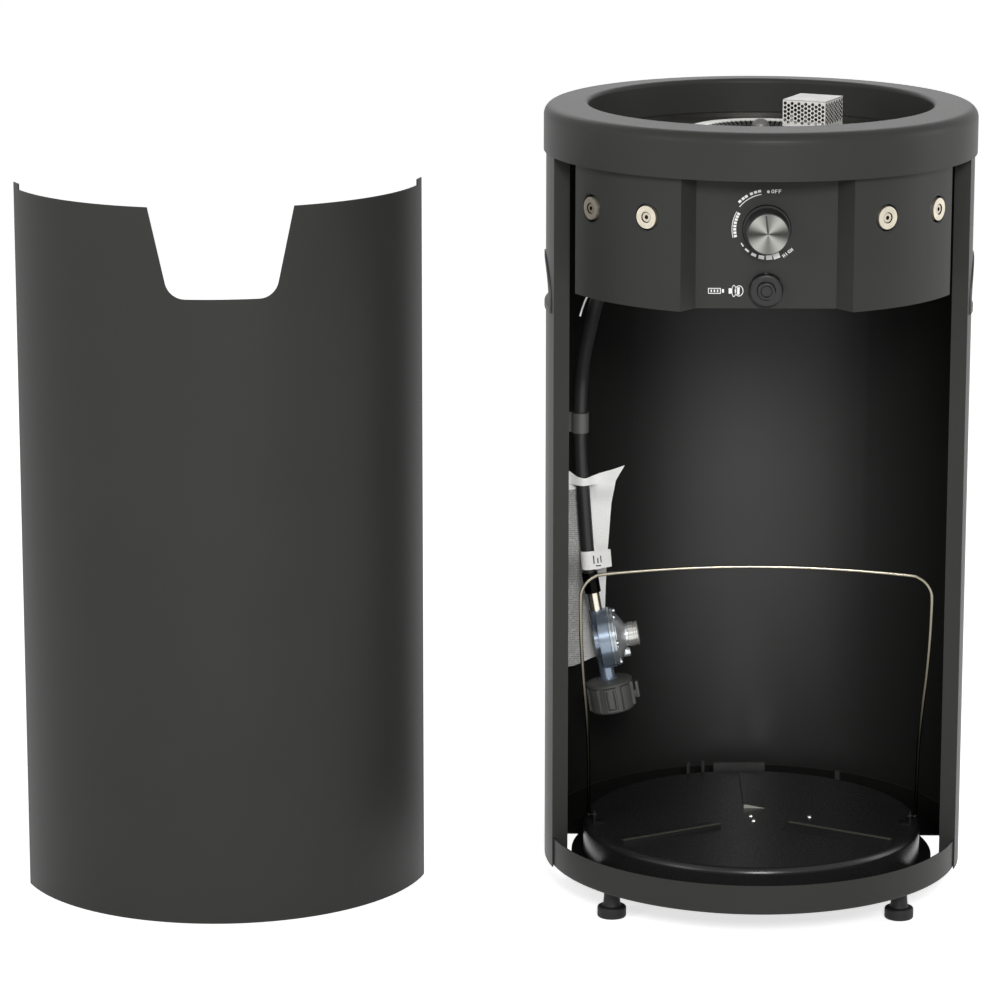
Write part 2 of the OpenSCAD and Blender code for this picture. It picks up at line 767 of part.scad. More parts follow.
module magnet_screws() {
    color(steel) at_magnets() union() {
        difference() {
            bar_x(4.2, magnet_front - 2.5, magnet_front - 0.8);
            bar_x(1.8, magnet_front - 1.8, magnet_front);
        }
        bar_x(2, cup_floor + 1.2, magnet_front - 2);
    }
}

// Base pan and tray
vent_in = base_r - 24.4;
foot_places = [[-1, -1], [1, -1], [-1, 1], [1, 1]];
rivet_places = [[0, 4], [2, -11], [56, 2]];
louvre_y = -8;
rivet_r = 1.6;
stop_w = 51;
stop_h = 7;
stop_turn = 182;
clip_turns = [195, 200.5];
clip_w = 3;
pin_turn = 146;
ear_t = 2;
ear_rise = 7;
ear_w = 12;
ear_x = bail_foot - wire_d / 2 - 2.5 - ear_t;
bail_y = -16;
pivot_z = tray_z + ear_rise;
module base_pan() {
    corner = 2.5;
    color(anthracite) difference() {
        rotate_extrude() polygon(concat([[0, base_z]],
            arc([base_r - corner, base_z + corner], corner, -90, 0, 5),
            [[base_r, base_top], [base_r - sheet_t, base_top]],
            arc([base_r - corner, base_z + corner], corner - sheet_t, 0, -90, 5), [[0, floor_z]]));
        both_sides() intersection() {
            translate([0, 0, base_z - 1]) tube(vent_in + vent_w, vent_in, sheet_t + 2);
            translate([0, -vent_l / 2, base_z - 1]) cube([base_r, vent_l, sheet_t + 2]);
        }
        for (p = foot_places) translate([p.x * foot_x, p.y * foot_y, base_z - 1])
            cylinder(h = sheet_t + 2, r = foot_stud_d / 2 + running);
        for (a = base_screw_angles) facing(a) translate([0, 0, base_screw_z])
            bar_x(base_screw_r + running, base_r - 10, base_r + 5);
    }
}
module base_screws() {
    color(black) for (a = base_screw_angles) facing(a) translate([0, 0, base_screw_z]) {
        bar_x(4, shell_r, shell_r + 2);
        bar_x(base_screw_r, base_r - 3, shell_r + eps);
    }
}
// One pressed louvre: a wedge that rises towards its slit
module louvre() {
    inner = 38;
    outer = tray_r - 15;
    slit = 6;
    translate([outer, 0, tray_z - eps]) rotate([0, -90, 0]) linear_extrude(outer - inner)
        polygon([[0, slit], [louvre_h, slit], [louvre_h, slit - 3], [0, slit - louvre_w]]);
}
module bottle_tray() {
    color(black) difference() {
        union() {
            rotate_extrude() polygon(concat([[0, tray_z - sheet_t]],
                arc([tray_r - tray_edge_r, tray_z - tray_edge_r], tray_edge_r - sheet_t, 90, 0, 6),
                [[tray_r - sheet_t, floor_z], [tray_r, floor_z]],
                arc([tray_r - tray_edge_r, tray_z - tray_edge_r], tray_edge_r, 0, 90, 6), [[0, tray_z]]));
            translate([0, louvre_y, 0]) for (a = [90, 210, 330]) rotate([0, 0, a]) louvre();
        }
        for (p = rivet_places) translate([p.x, p.y, tray_z - 5]) cylinder(h = 10, r = rivet_r + running);
    }
}
module tray_rivets() {
    color(steel) for (p = rivet_places) translate([p.x, p.y, tray_z]) union() {
        rotate_extrude() polygon(concat([[0, 0]], arc([0, -0.6], 2.8, 13, 90, 6)));
        translate([0, 0, -4]) cylinder(h = 4 + eps, r = rivet_r);
    }
}
// Upright strips at the tray's edge that keep it in place
module tray_stops() {
    strip_t = 1.5;
    gap = tray_r + seat;
    module strip(w, h) {
        translate([gap, -w / 2, floor_z]) cube([strip_t, w, tray_rise + h]);
        translate([gap, -w / 2, floor_z]) cube([0.36 * (base_r - tray_r), w, strip_t]);
    }
    color(anthracite) {
        facing(stop_turn) strip(stop_w, stop_h);
        for (a = clip_turns) facing(a) strip(clip_w, stop_h + clip_w);
        facing(pin_turn) strip(5, stop_h);
    }
}
module bail_ears() {
    color(black) both_sides() translate([0, bail_y, 0]) difference() {
        union() {
            translate([ear_x, -ear_w / 2, tray_z]) cube([ear_t, ear_w, ear_rise]);
            translate([0, 0, pivot_z]) bar_x(ear_w / 2, ear_x, ear_x + ear_t);
            translate([ear_x - 8, -ear_w / 2, tray_z]) cube([8 + eps, ear_w, 1.5]);
        }
        translate([0, 0, pivot_z]) bar_x(wire_d / 2 + running, ear_x - 5, ear_x + 5);
    }
}

// Bail: one bent wire, pivoted at both lower ends
bail_half = bail_foot + 8.5;
bail_corner = 24;
bail_bow = 8;
bail_corner_h = bail_h - bail_corner;
function bail_bar(x) = bail_h + bail_bow * (1 - pow(x / (bail_half - bail_corner), 2));
bail_side = concat([[bail_foot, 0], [bail_foot + 0.2, 40], [bail_foot + 0.8, 75], [bail_foot + 3, 110],
    [bail_foot + 6, 145], [bail_half - 0.6, 180], [bail_half, 205]],
    arc([bail_half - bail_corner, bail_corner_h], bail_corner, 0, 80, 6));
bail_top = [for (x = [110, 80, 50, 20]) [x, bail_bar(x)]];
bail_right = concat(bail_side, bail_top);
bail_route = concat([for (p = bail_right) [p.x, 0, p.y]],
    [for (i = [len(bail_right) - 1:-1:0]) [-bail_right[i].x, 0, bail_right[i].y]]);
module bottle_bail() {
    color(nickel) translate([0, bail_y, pivot_z]) rotate([bail_lean, 0, 0]) union() {
        swept(bail_route, wire_d / 2, 10, [0, 1, 0]);
        both_sides() bar_x(wire_d / 2, ear_x - 1, bail_foot + wire_d / 2);
    }
}

// Levelling feet
foot_nut_h = 6.5;
module foot(i) {
    p = foot_places[i];
    pad_h = 10.5;
    pad_r = foot_pad_d / 2;
    neck_r = foot_stud_d / 2 + 3.4;
    color(black) translate([p.x * foot_x, p.y * foot_y, 0]) union() {
        rotate_extrude() polygon(concat([[0, 0]], arc([pad_r - 1.5, 1.5], 1.5, -90, 0, 3),
            arc([pad_r - 2, pad_h - 2], 2, 0, 90, 4),
            [[neck_r + 1.4, pad_h + 0.4], [neck_r + 0.7, pad_h + 2.5], [neck_r, foot_h - 8],
                [neck_r, foot_h - seat], [0, foot_h - seat]]));
        translate([0, 0, foot_h - 1]) cylinder(h = sheet_t + foot_nut_h + 5, r = foot_stud_d / 2);
    }
}
module foot_front_left() { foot(0); }
module foot_front_right() { foot(1); }
module foot_back_left() { foot(2); }
module foot_back_right() { foot(3); }
module foot_nuts() {
    color(steel) for (p = foot_places) translate([p.x * foot_x, p.y * foot_y, floor_z]) difference() {
        cylinder(h = foot_nut_h, r = foot_stud_d * 0.92, $fn = 6);
        translate([0, 0, -1]) cylinder(h = foot_nut_h + 2, r = foot_stud_d / 2 + running);
    }
}

// Hose, clip and regulator
hang_y = 40;
hose_wall = 27.4;
hang_z = 172.5;
hang_out = 30.5;
wall_x = -sqrt(pow(shell_in, 2) - pow(hang_y, 2));
hose_x = wall_x + hose_wall;
hang = [hose_x + hang_out, hang_y, hang_z];
hang_axis = [-sin(hang_lean), 0, cos(hang_lean)];
crimp_top = 122;
hose_end = 104;
nipple_r = 9;
hose_r = hose_d / 2;
clip_z = 429;
clip_h = 19;
hose_route = concat([[-hose_start_x, inlet_y, valve_z], [-62, -126, 657], [-78, -125, 655], [-94, -119, 650],
    [-109, -108, 641], [-122, -94, 629], [-133, -77, 614], [-142, -59, 596], [-149, -38, 574],
    [-154, -17, 551], [-158, 3, 528], [-162, 20, 504], [-164, 34, 480]],
    [for (z = [455, 438, 420]) [hose_x, hang_y, z]],
    [for (q = [[1, 397], [3, 371], [5, 344], [7, 318]]) [hose_x + q.x, hang_y, q.y]],
    [for (d = [crimp_top + 1, crimp_top - 9, hose_end]) hang + d * hang_axis]);
module at_regulator() { translate(hang) rotate([0, -hang_lean, 0]) children(); }
module hose_union() {
    color(brass) translate([0, inlet_y, valve_z]) union() {
        translate([-hose_start_x + 8, 0, 0]) rotate([0, 90, 0])
            cylinder(h = hose_start_x - 8 - union_x, r = 10, $fn = 6);
        bar_x(hose_r - 0.5, -hose_start_x, -hose_start_x + 9);
    }
}
module gas_hose() { color(black) swept(hose_route, hose_r, 12, [0, 0, 1]); }
module hose_clip() {
    at = hose_route[14];
    reach = norm([at.x, at.y]);
    turn = atan2(at.y, at.x);
    loop_in = hose_r + 0.2;
    loop_out = loop_in + 1.5;
    tab_r = sqrt(pow(shell_in - running, 2) - pow(7, 2));
    color(black) union() {
        translate([at.x, at.y, clip_z]) tube(loop_out, loop_in, clip_h);
        rotate([0, 0, turn]) {
            translate([reach + loop_in + 0.5, -0.75, clip_z])
                cube([tab_r - reach - loop_in - 0.5, 1.5, clip_h]);
            translate([tab_r - 1.5, -7, clip_z]) cube([1.5, 14, clip_h]);
        }
    }
}
module hose_crimp() {
    ferrule_z = 84;
    color(zinc) at_regulator() difference() {
        union() {
            translate([0, 0, hose_end - 2]) cylinder(h = crimp_top - hose_end + 2, r = hose_r + 1.2);
            translate([0, 0, ferrule_z]) cylinder(h = hose_end - ferrule_z, r = 5.8);
        }
        translate([0, 0, hose_end]) cylinder(h = crimp_top, r = hose_r + 0.1);
    }
}
flange_z = 55;
flange_r = regulator_d / 2;
cover_x = 9;
spigot_r = 4.5;
spigot_l = 13.5;
spigot_drop = 17.2;
nut_bottom = -nut_h / 2;
nut_top = nut_h / 2;
module regulator_body() {
    collar = 2.5;
    color(zinc) at_regulator() union() {
        translate([0, 0, nut_top + 1]) cylinder(h = 84 - nut_top - 1, r = 7.2);
        translate([0, 0, flange_z]) bar_x(flange_r, -1, cover_x);
        translate([0, 0, flange_z]) bar_x(flange_r - 12, -6, 0);
        translate([0, 0, nut_bottom + 10]) cylinder(h = nut_top + 1 - nut_bottom - 10 + eps, r = nipple_r);
        translate([0, 0, nut_top - 8]) cylinder(h = collar, r = nipple_r + 4);
    }
}
module regulator_cover() {
    color(steel) at_regulator() translate([0, 0, flange_z]) rotate([0, 90, 0]) union() {
        translate([0, 0, cover_x]) rotate_extrude() polygon([[0, 0], [flange_r, 0], [flange_r, 3],
            [flange_r - 4, 5], [flange_r - 6, 5], [flange_r - 8, 8], [15, 13], [13, 14.5], [11, 14.5],
            [11, 17], [12, 17], [12, 26], [11, 27], [0, 27]]);
        for (a = [30:60:330]) rotate([0, 0, a]) translate([flange_r - 3.5, 0, cover_x + 3])
            cylinder(h = 3.5, r = 2.2);
        translate([spigot_drop, 0, cover_x + 3]) cylinder(h = spigot_l, r = spigot_r);
    }
}
module coupling_nut() {
    bore = 16.7;
    lid = 5;
    rib_w = 9;
    lug_w = 8;
    lug_out = 4.5;
    body_r = nut_d / 2 - 2.5;
    color(black) at_regulator() difference() {
        union() {
            translate([0, 0, nut_bottom]) cylinder(h = nut_h, r = body_r);
            for (a = [0:45:315]) rotate([0, 0, a]) translate([body_r - 3, -rib_w / 2, nut_bottom + 3])
                cube([nut_d / 2 - body_r + 3, rib_w, nut_h - 8]);
            translate([body_r - 1, -lug_w / 2, -nut_h / 4])
                cube([nut_d / 2 - body_r + 1 + lug_out, lug_w, nut_top - 7 + nut_h / 4]);
        }
        translate([0, 0, nut_bottom - 1]) cylinder(h = nut_h - lid + 1, r = bore);
        translate([0, 0, nut_bottom]) cylinder(h = nut_h + 1, r = nipple_r + running);
    }
}
// Blank paper tag hanging behind the hose, pushed back by the regulator below
module paper_tag() {
    sheet = 0.5;
    front = hang.y + hose_r + seat;
    back = hang.y + flange_r + 3;
    left = hose_x - 11;
    width = 40;
    low = 192;
    high = 394;
    bend = [265, 315];
    color(white) translate([left, 0, 0]) rotate([90, 0, 90]) linear_extrude(width)
        polygon([[back, low], [back, bend[0]], [front, bend[1]], [front, high], [front + sheet, high],
            [front + sheet, bend[1]], [back + sheet, bend[0]], [back + sheet, low]]);
}

// Door, drawn in its closed place and then set down beside the column
door_half = opening_half - door_gap;
door_bottom = base_z + 0.5;
door_top = ring_z - 1 - door_tab_h;
door_in = shell_in;
rest_w = 24;
rest_l = 16;
rest_t = 1.5;
rest_z = base_top + seat;
rest_angles = [-42, 0, 42];
buffer_r = 6;
buffer_at = [0, -(door_in - rest_l + buffer_r + 1), rest_z + buffer_r + 0.2];
buffer_seat_r = sqrt(pow(buffer_r + seat, 2) - pow(buffer_r + 0.2 - rest_t, 2));
striker_r = magnet_front + 0.4;
striker_w = 90;
striker_h = 28;
door_set = [door_x - buffer_at.y * sin(door_yaw), door_y + buffer_at.y * (cos(door_yaw) - 1),
    -door_bottom + 1.2];
carry_axis = unit([0, 0, 1] - (door_set.z / (door_set * door_set)) * door_set);
module set_beside() {
    translate(buffer_at + door_set) rotate(a = door_yaw, v = carry_axis) translate(-buffer_at) children();
}
// Opening in the door's top edge: slanted sides and round lower corners
module notch_cut() {
    slope = (notch_top_half - notch_bottom_half) / notch_depth;
    lean = atan(slope);
    low_r = 18;
    over = 20;
    low_z = door_top - notch_depth;
    bend = [notch_bottom_half + slope * low_r - low_r / cos(lean), low_z + low_r];
    right = concat(arc(bend, low_r, -90, -lean, 8), [[notch_top_half + slope * over, door_top + over]]);
    left = [for (i = [len(right) - 1:-1:0]) [-right[i].x, right[i].y]];
    reach = 0.6 * door_in;
    translate([0, -door_in + reach / 2, 0]) rotate([90, 0, 0]) linear_extrude(reach)
        polygon(concat(right, left));
}
module door_panel() {
    color(anthracite) set_beside() difference() {
        translate([0, 0, door_bottom]) linear_extrude(door_top + door_tab_h - door_bottom) intersection() {
            difference() {
                circle(shell_r);
                circle(door_in);
            }
            front_sector(door_half);
        }
        translate([0, 0, door_top]) linear_extrude(door_tab_h + 1)
            front_sector(door_half - door_tab_w / shell_r * 180 / PI);
        notch_cut();
    }
}
// Rests that sit over the base rim and the strips that meet the magnets
module door_fittings() {
    inner = door_in - running;
    color(anthracite) set_beside() {
        for (a = rest_angles) facing(a) difference() {
            union() {
                translate([door_in - rest_l, -rest_w / 2, rest_z]) cube([rest_l + 2, rest_w, rest_t]);
                translate([door_in - 2.4, -rest_w / 2, rest_z]) cube([4, rest_w, 12]);
            }
            rotate_extrude() translate([inner, 0]) square([20, column_h]);
            if (a == 0) translate([-buffer_at.y, 0, rest_z - 1]) cylinder(h = rest_t + 2, r = buffer_seat_r);
        }
        both_sides() intersection() {
            translate([0, 0, magnet_z - striker_h / 2]) tube(inner, striker_r, striker_h);
            facing((magnet_angles[0] + magnet_angles[1]) / 2)
                translate([0, -striker_w / 2, magnet_z - striker_h])
                    cube([ring_r, striker_w, 2 * striker_h]);
        }
    }
}
module door_buffer() {
    color(black) set_beside() translate(buffer_at) sphere(buffer_r);
}

column_shell();
handhold_trims();
top_ring();
ring_brackets();
ring_screws();
burner_pan();
heat_shield();
ring_burner();
dome_nut();
mixer_tube();
air_shutter();
injector();
feed_tube();
tube_nuts();
electrode_cage();
spark_electrode();
thermocouple();
ignition_lead();
control_panel();
panel_screws();
magnet_cups();
door_magnets();
magnet_screws();
gas_valve();
valve_nut();
valve_plug();
valve_spring();
valve_stem();
control_knob();
knob_face();
knob_bezel();
igniter_body();
igniter_nut();
igniter_cap();
igniter_button();
igniter_battery();
battery_spring();
base_pan();
base_screws();
bottle_tray();
tray_rivets();
tray_stops();
bail_ears();
bottle_bail();
foot_front_left();
foot_front_right();
foot_back_left();
foot_back_right();
foot_nuts();
hose_union();
gas_hose();
hose_clip();
hose_crimp();
regulator_body();
regulator_cover();
coupling_nut();
paper_tag();
door_panel();
door_fittings();
door_buffer();
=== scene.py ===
import math
from functools import partial
from itertools import product
import bmesh
import bpy
from mathutils import Matrix, Vector


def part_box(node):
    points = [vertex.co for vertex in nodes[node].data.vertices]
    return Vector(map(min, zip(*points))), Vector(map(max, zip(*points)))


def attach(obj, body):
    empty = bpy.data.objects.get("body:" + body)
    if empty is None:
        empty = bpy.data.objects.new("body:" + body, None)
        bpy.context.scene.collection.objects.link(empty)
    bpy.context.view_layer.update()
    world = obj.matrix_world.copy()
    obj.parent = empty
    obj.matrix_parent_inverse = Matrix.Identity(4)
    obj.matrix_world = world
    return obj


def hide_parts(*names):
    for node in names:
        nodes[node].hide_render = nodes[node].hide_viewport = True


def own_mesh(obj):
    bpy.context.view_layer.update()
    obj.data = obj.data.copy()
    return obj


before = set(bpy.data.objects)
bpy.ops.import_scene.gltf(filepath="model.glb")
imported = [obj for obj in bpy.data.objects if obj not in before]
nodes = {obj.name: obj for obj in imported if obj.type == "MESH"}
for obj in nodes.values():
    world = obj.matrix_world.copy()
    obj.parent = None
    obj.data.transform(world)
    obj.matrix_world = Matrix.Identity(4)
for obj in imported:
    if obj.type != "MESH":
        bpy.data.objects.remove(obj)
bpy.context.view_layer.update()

scene = bpy.context.scene
scene.view_settings.view_transform = "Standard"


# Camera. It stands four metres in front of the column, a little to its left and above the
# ring, and looks slightly down, so that the bowl, the tray and the open bay all show.
lens_mm = 157.0
sensor_mm = 36.0
eye_place = (-0.1754, -4.001, 1.2991)
eye_pitch = 13.046
eye_turn = 0.93


def placed(name, data):
    """A new object of the scene with the given data."""
    thing = bpy.data.objects.new(name, data)
    scene.collection.objects.link(thing)
    return thing


eye = placed("eye", bpy.data.cameras.new("eye"))
eye.data.lens = lens_mm
eye.data.sensor_width = sensor_mm
eye.location = eye_place
eye.rotation_euler = (math.radians(90 - eye_pitch), 0, math.radians(eye_turn))
scene.camera = eye


# Gas hose. Smooth black rubber tube that leaves the valve behind the panel, bends down the
# left wall through its clip and hangs there with the regulator crimped on its lower end.
hose_diameter = 0.013
hose_x = -164.986
hose_y = 40.0
hang_mm = Vector((-134.486, hose_y, 172.5))
hang_lean = math.radians(10)
hang_axis = Vector((-math.sin(hang_lean), 0, math.cos(hang_lean)))
hose_points_mm = [
    (-48, -125.8, 657), (-62, -126, 657), (-78, -125, 655), (-94, -119, 650), (-109, -108, 641),
    (-122, -94, 629), (-133, -77, 614), (-142, -59, 596), (-149, -38, 574), (-154, -17, 551),
    (-158, 3, 528), (-162, 20, 504), (-164, 34, 480), (hose_x, hose_y, 455), (hose_x, hose_y, 438),
    (hose_x, hose_y, 420), (hose_x + 1, hose_y, 397), (hose_x + 3, hose_y, 371),
    (hose_x + 5, hose_y, 344), (hose_x + 7, hose_y, 318),
    hang_mm + 123 * hang_axis, hang_mm + 113 * hang_axis, hang_mm + 104 * hang_axis,
]


def smooth_route(points, steps):
    """Points on one smooth curve through the given points, in the same units."""
    p = [Vector(q) for q in points]
    p = [2 * p[0] - p[1]] + p + [2 * p[-1] - p[-2]]
    route = []
    for i in range(1, len(p) - 2):
        a, b, c, d = p[i - 1:i + 3]
        for k in range(steps):
            t = k / steps
            route.append(0.5 * (2 * b + (c - a) * t + (2 * a - 5 * b + 4 * c - d) * t * t
                                + (3 * b - a - 3 * c + d) * t ** 3))
    return route + [p[-2]]


def round_wire(name, route, diameter):
    """A curve object of one open spline with a round section."""
    line = bpy.data.curves.new(name, "CURVE")
    line.dimensions = "3D"
    line.bevel_depth = diameter / 2
    line.bevel_resolution = 6
    line.use_fill_caps = True
    spline = line.splines.new("POLY")
    spline.points.add(len(route) - 1)
    for point, q in zip(spline.points, route):
        point.co = (*q, 1)
    spline.use_smooth = True
    return placed(name, line)


def linear(red, green, blue):
    """Screen colour from 0 to 255 as the shader's linear colour."""
    part = []
    for v in (red, green, blue):
        part.append(v / 255 / 12.92 if v <= 10 else ((v / 255 + 0.055) / 1.055) ** 2.4)
    return (*part, 1)


def set_inputs(tree, node, inputs):
    """Links a node's inputs, by name or number, to sockets, or sets them to plain values."""
    for name, value in inputs.items():
        if isinstance(value, bpy.types.NodeSocket):
            tree.links.new(value, node.inputs[name])
        else:
            node.inputs[name].default_value = value


def node_of(tree, kind, inputs, operation=None):
    """A new shader node with its inputs set."""
    node = tree.nodes.new("ShaderNode" + kind)
    if operation:
        node.operation = operation
    set_inputs(tree, node, inputs)
    return node


def object_place(tree):
    """The shaded point, in metres."""
    return node_of(tree, "TexCoord", {}).outputs["Object"]


def surface(name, colour, rough, metal=0.0, shift=0.1, blotch=40.0, grain=900.0, bump=0.08, gloss=0.5,
            stretch=(1, 1, 1)):
    """A finish of a screen colour that changes slowly, with fine grain in its roughness and bump."""
    tone = linear(*colour)[:3]
    finish = bpy.data.materials.new(name)
    finish.use_nodes = True
    tree = finish.node_tree
    place = object_place(tree)
    slow = node_of(tree, "TexNoise", {"Vector": place, "Scale": blotch, "Detail": 3})
    tint = node_of(tree, "ValToRGB", {"Fac": slow.outputs["Fac"]})
    ends = tint.color_ramp.elements
    ends[0].position = 0.3
    ends[1].position = 0.7
    for end, level in zip(ends, (1 - shift, 1 + shift)):
        end.color = [min(1, c * level) for c in tone] + [1]
    lay = node_of(tree, "Mapping", {"Vector": place, "Scale": stretch})
    fine = node_of(tree, "TexNoise", {"Vector": lay.outputs["Vector"], "Scale": grain, "Detail": 2})
    height = fine.outputs["Fac"]
    sheen = node_of(tree, "MapRange", {"Value": height, "To Min": max(0.02, rough - 0.07),
                                       "To Max": min(1.0, rough + 0.07)})
    relief = node_of(tree, "Bump", {"Height": height, "Strength": bump, "Distance": 0.0002})
    set_inputs(tree, tree.nodes["Principled BSDF"], {
        "Metallic": metal, "Specular IOR Level": gloss, "Base Color": tint.outputs["Color"],
        "Roughness": sheen.outputs["Result"], "Normal": relief.outputs["Normal"]})
    return finish


def turn_to(finish, way, start, end, colour):
    """Lets a finish change to another colour along a direction, between two distances in metres."""
    tree = finish.node_tree
    along = node_of(tree, "VectorMath", {0: object_place(tree), 1: way}, "DOT_PRODUCT").outputs["Value"]
    share = node_of(tree, "MapRange", {"Value": along, "From Min": start, "From Max": end})
    blend_in(finish, share.outputs["Result"], colour)


def blend_in(finish, share, colour):
    """Mixes a screen colour over a finish by a share from 0 to 1."""
    tree = finish.node_tree
    base = tree.nodes["Principled BSDF"].inputs["Base Color"]
    blend = tree.nodes.new("ShaderNodeMix")
    blend.data_type = "RGBA"
    sockets = [q for q in blend.inputs if q.type == "RGBA"]
    tree.links.new(share, blend.inputs["Factor"])
    tree.links.new(base.links[0].from_socket, sockets[0])
    sockets[1].default_value = linear(*colour)
    tree.links.new([q for q in blend.outputs if q.type == "RGBA"][0], base)


def dress(finish, *pieces):
    """Gives CAD nodes, by name, or new objects one finish."""
    for piece in pieces:
        thing = nodes[piece] if isinstance(piece, str) else piece
        thing.data.materials.clear()
        thing.data.materials.append(finish)


def fit(finish, piece, body):
    """Gives a new piece its finish and ties it to its body."""
    dress(finish, piece)
    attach(piece, body)


hose_rubber = surface("hose_rubber", (40, 40, 40), 0.4, grain=500, bump=0.03, gloss=0.35)
hose_route = [q / 1000 for q in smooth_route(hose_points_mm, 6)]
hose = round_wire("hose", hose_route, hose_diameter)
fit(hose_rubber, hose, "column")
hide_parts("gas_hose")


# Ignition lead. Thin silicone-covered wire pushed on the igniter's terminal, from where it
# bends up behind the panel to the foot of the spark electrode.
lead_diameter = 0.003
lead_start = Vector((0, -76.8, 602.5)) / 1000
lead_end = Vector((30, 16, 688.8)) / 1000
lead_pull = 0.45 * (lead_end - lead_start).length
lead_bend = [lead_start, lead_start + Vector((0, lead_pull, 0)),
             lead_end - Vector((0, 0, lead_pull)), lead_end]
lead_route = []
for i in range(41):
    t = i / 40
    share = ((1 - t) ** 3, 3 * t * (1 - t) ** 2, 3 * t * t * (1 - t), t ** 3)
    lead_route.append(sum((w * q for w, q in zip(share, lead_bend)), Vector()))
lead = round_wire("lead", lead_route, lead_diameter)
lead_cover = surface("lead_cover", (40, 38, 38), 0.5, grain=1500, bump=0.05)
fit(lead_cover, lead, "column")
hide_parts("ignition_lead")


# Studio. A pale floor and a white surround, which the camera, metal and glass all see, with
# soft boxes to the left, to the right, in front above the camera and behind.
floor_size = 16.0
floor_z = -0.0005
floor_glow = 0.7
floor_white = bpy.data.materials.new("floor_white")
floor_white.use_nodes = True
floor_tree = floor_white.node_tree
floor_shader = floor_tree.nodes["Principled BSDF"]
set_inputs(floor_tree, floor_shader, {"Base Color": (0.9, 0.9, 0.9, 1), "Roughness": 0.9})


def step_of(tree, operation, *values):
    """The result of one sum in a finish's nodes, of sockets or plain numbers."""
    return node_of(tree, "Math", dict(enumerate(values)), operation).outputs[0]


def seen_white(tree):
    """1 for rays from the camera, from metal and through glass, 0 for rays that light things."""
    rays = node_of(tree, "LightPath", {}).outputs
    seen = step_of(tree, "MAXIMUM", rays["Is Camera Ray"], rays["Is Glossy Ray"])
    return step_of(tree, "MAXIMUM", seen, rays["Is Transmission Ray"])


floor_lift = step_of(floor_tree, "MULTIPLY", seen_white(floor_tree), floor_glow)
floor_shine = node_of(floor_tree, "Emission", {"Strength": floor_lift})
floor_sum = node_of(floor_tree, "AddShader", {0: floor_shader.outputs[0], 1: floor_shine.outputs[0]})
set_inputs(floor_tree, floor_tree.nodes["Material Output"], {"Surface": floor_sum.outputs[0]})


def mesh_object(name, work):
    """An object with the mesh that was worked on."""
    shape = bpy.data.meshes.new(name)
    work.to_mesh(shape)
    work.free()
    return placed(name, shape)


def mesh_piece(name, points, faces, crease=32.0):
    """A mesh object in metres, smooth except across edges that are sharper than crease."""
    work = bmesh.new()
    corners = [work.verts.new(p) for p in points]
    for face in faces:
        work.faces.new([corners[i] for i in face]).smooth = True
    bmesh.ops.recalc_face_normals(work, faces=work.faces)
    for edge in work.edges:
        edge.smooth = edge.is_manifold and edge.calc_face_angle() < math.radians(crease)
    return mesh_object(name, work)


def rectangle(u, v, wide, tall):
    """The four corners of a rectangle about a middle point."""
    return [(u + x * wide / 2, v + y * tall / 2) for x, y in ((-1, -1), (1, -1), (1, 1), (-1, 1))]


floor_corners = [(x, y, floor_z) for x, y in rectangle(0, 0, floor_size, floor_size)]
floor = mesh_piece("floor", floor_corners, [(0, 1, 2, 3)])
dress(floor_white, floor)

sky_front = 0.17
sky_back = 0.38
scene.world = bpy.data.worlds.new("surround")
scene.world.use_nodes = True
sky = scene.world.node_tree
sky_way = node_of(sky, "TexCoord", {}).outputs["Generated"]
sky_depth = node_of(sky, "SeparateXYZ", {"Vector": sky_way}).outputs["Y"]
sky_level = node_of(sky, "MapRange", {"Value": sky_depth, "From Min": -0.5, "From Max": 0.5,
                                      "To Min": sky_front, "To Max": sky_back})
sky_level.interpolation_type = "SMOOTHSTEP"
sky_white = step_of(sky, "MAXIMUM", sky_level.outputs["Result"], seen_white(sky))
set_inputs(sky, sky.nodes["Background"], {"Color": (1, 1, 1, 1), "Strength": sky_white})


def soft_box(name, place, aim, width, height, watts):
    """A rectangular soft light at a place, turned towards a point."""
    lamp = bpy.data.lights.new(name, "AREA")
    lamp.shape = "RECTANGLE"
    lamp.size = width
    lamp.size_y = height
    lamp.energy = watts
    box = placed(name, lamp)
    box.location = place
    box.rotation_euler = (Vector(aim) - Vector(place)).to_track_quat("-Z", "Y").to_euler()


soft_box("left_box", (-2.3, -1.9, 1.7), (-0.5, 0, 0.4), 1.0, 1.6, 22)
soft_box("right_box", (2.3, 0.2, 1.0), (0.1, 0, 0.4), 0.8, 1.2, 12)
soft_box("front_box", (0.3, -4.2, 2.25), (0, 0, 0.4), 0.9, 0.9, 120)
soft_box("back_box", (-0.2, 2.6, 2.0), (-0.2, 0, 0.7), 2.4, 0.8, 12)


# Column shell, top ring, control panel, base and door. Rolled and folded sheet steel with a
# fine-textured anthracite powder coat; seams are welded and the ring is held by inner brackets.
coat_colour = (51, 52, 50)
coat_gloss = 0.13
coat = {"rough": 0.42, "shift": 0.04, "blotch": 9, "grain": 1500, "bump": 0.12}
# Colour of the painted shade inside the bay and the base.
inside_shade_colour = (20, 20, 19)
shine_top = 0.6
shine_full = 0.36
powder_coat = surface("powder_coat", coat_colour, gloss=coat_gloss, **coat)
dress(powder_coat, "top_ring", "control_panel", "door_panel", "door_fittings")


def place_parts(tree):
    """The x, y and z of the shaded point, in metres."""
    return node_of(tree, "SeparateXYZ", {"Vector": object_place(tree)}).outputs


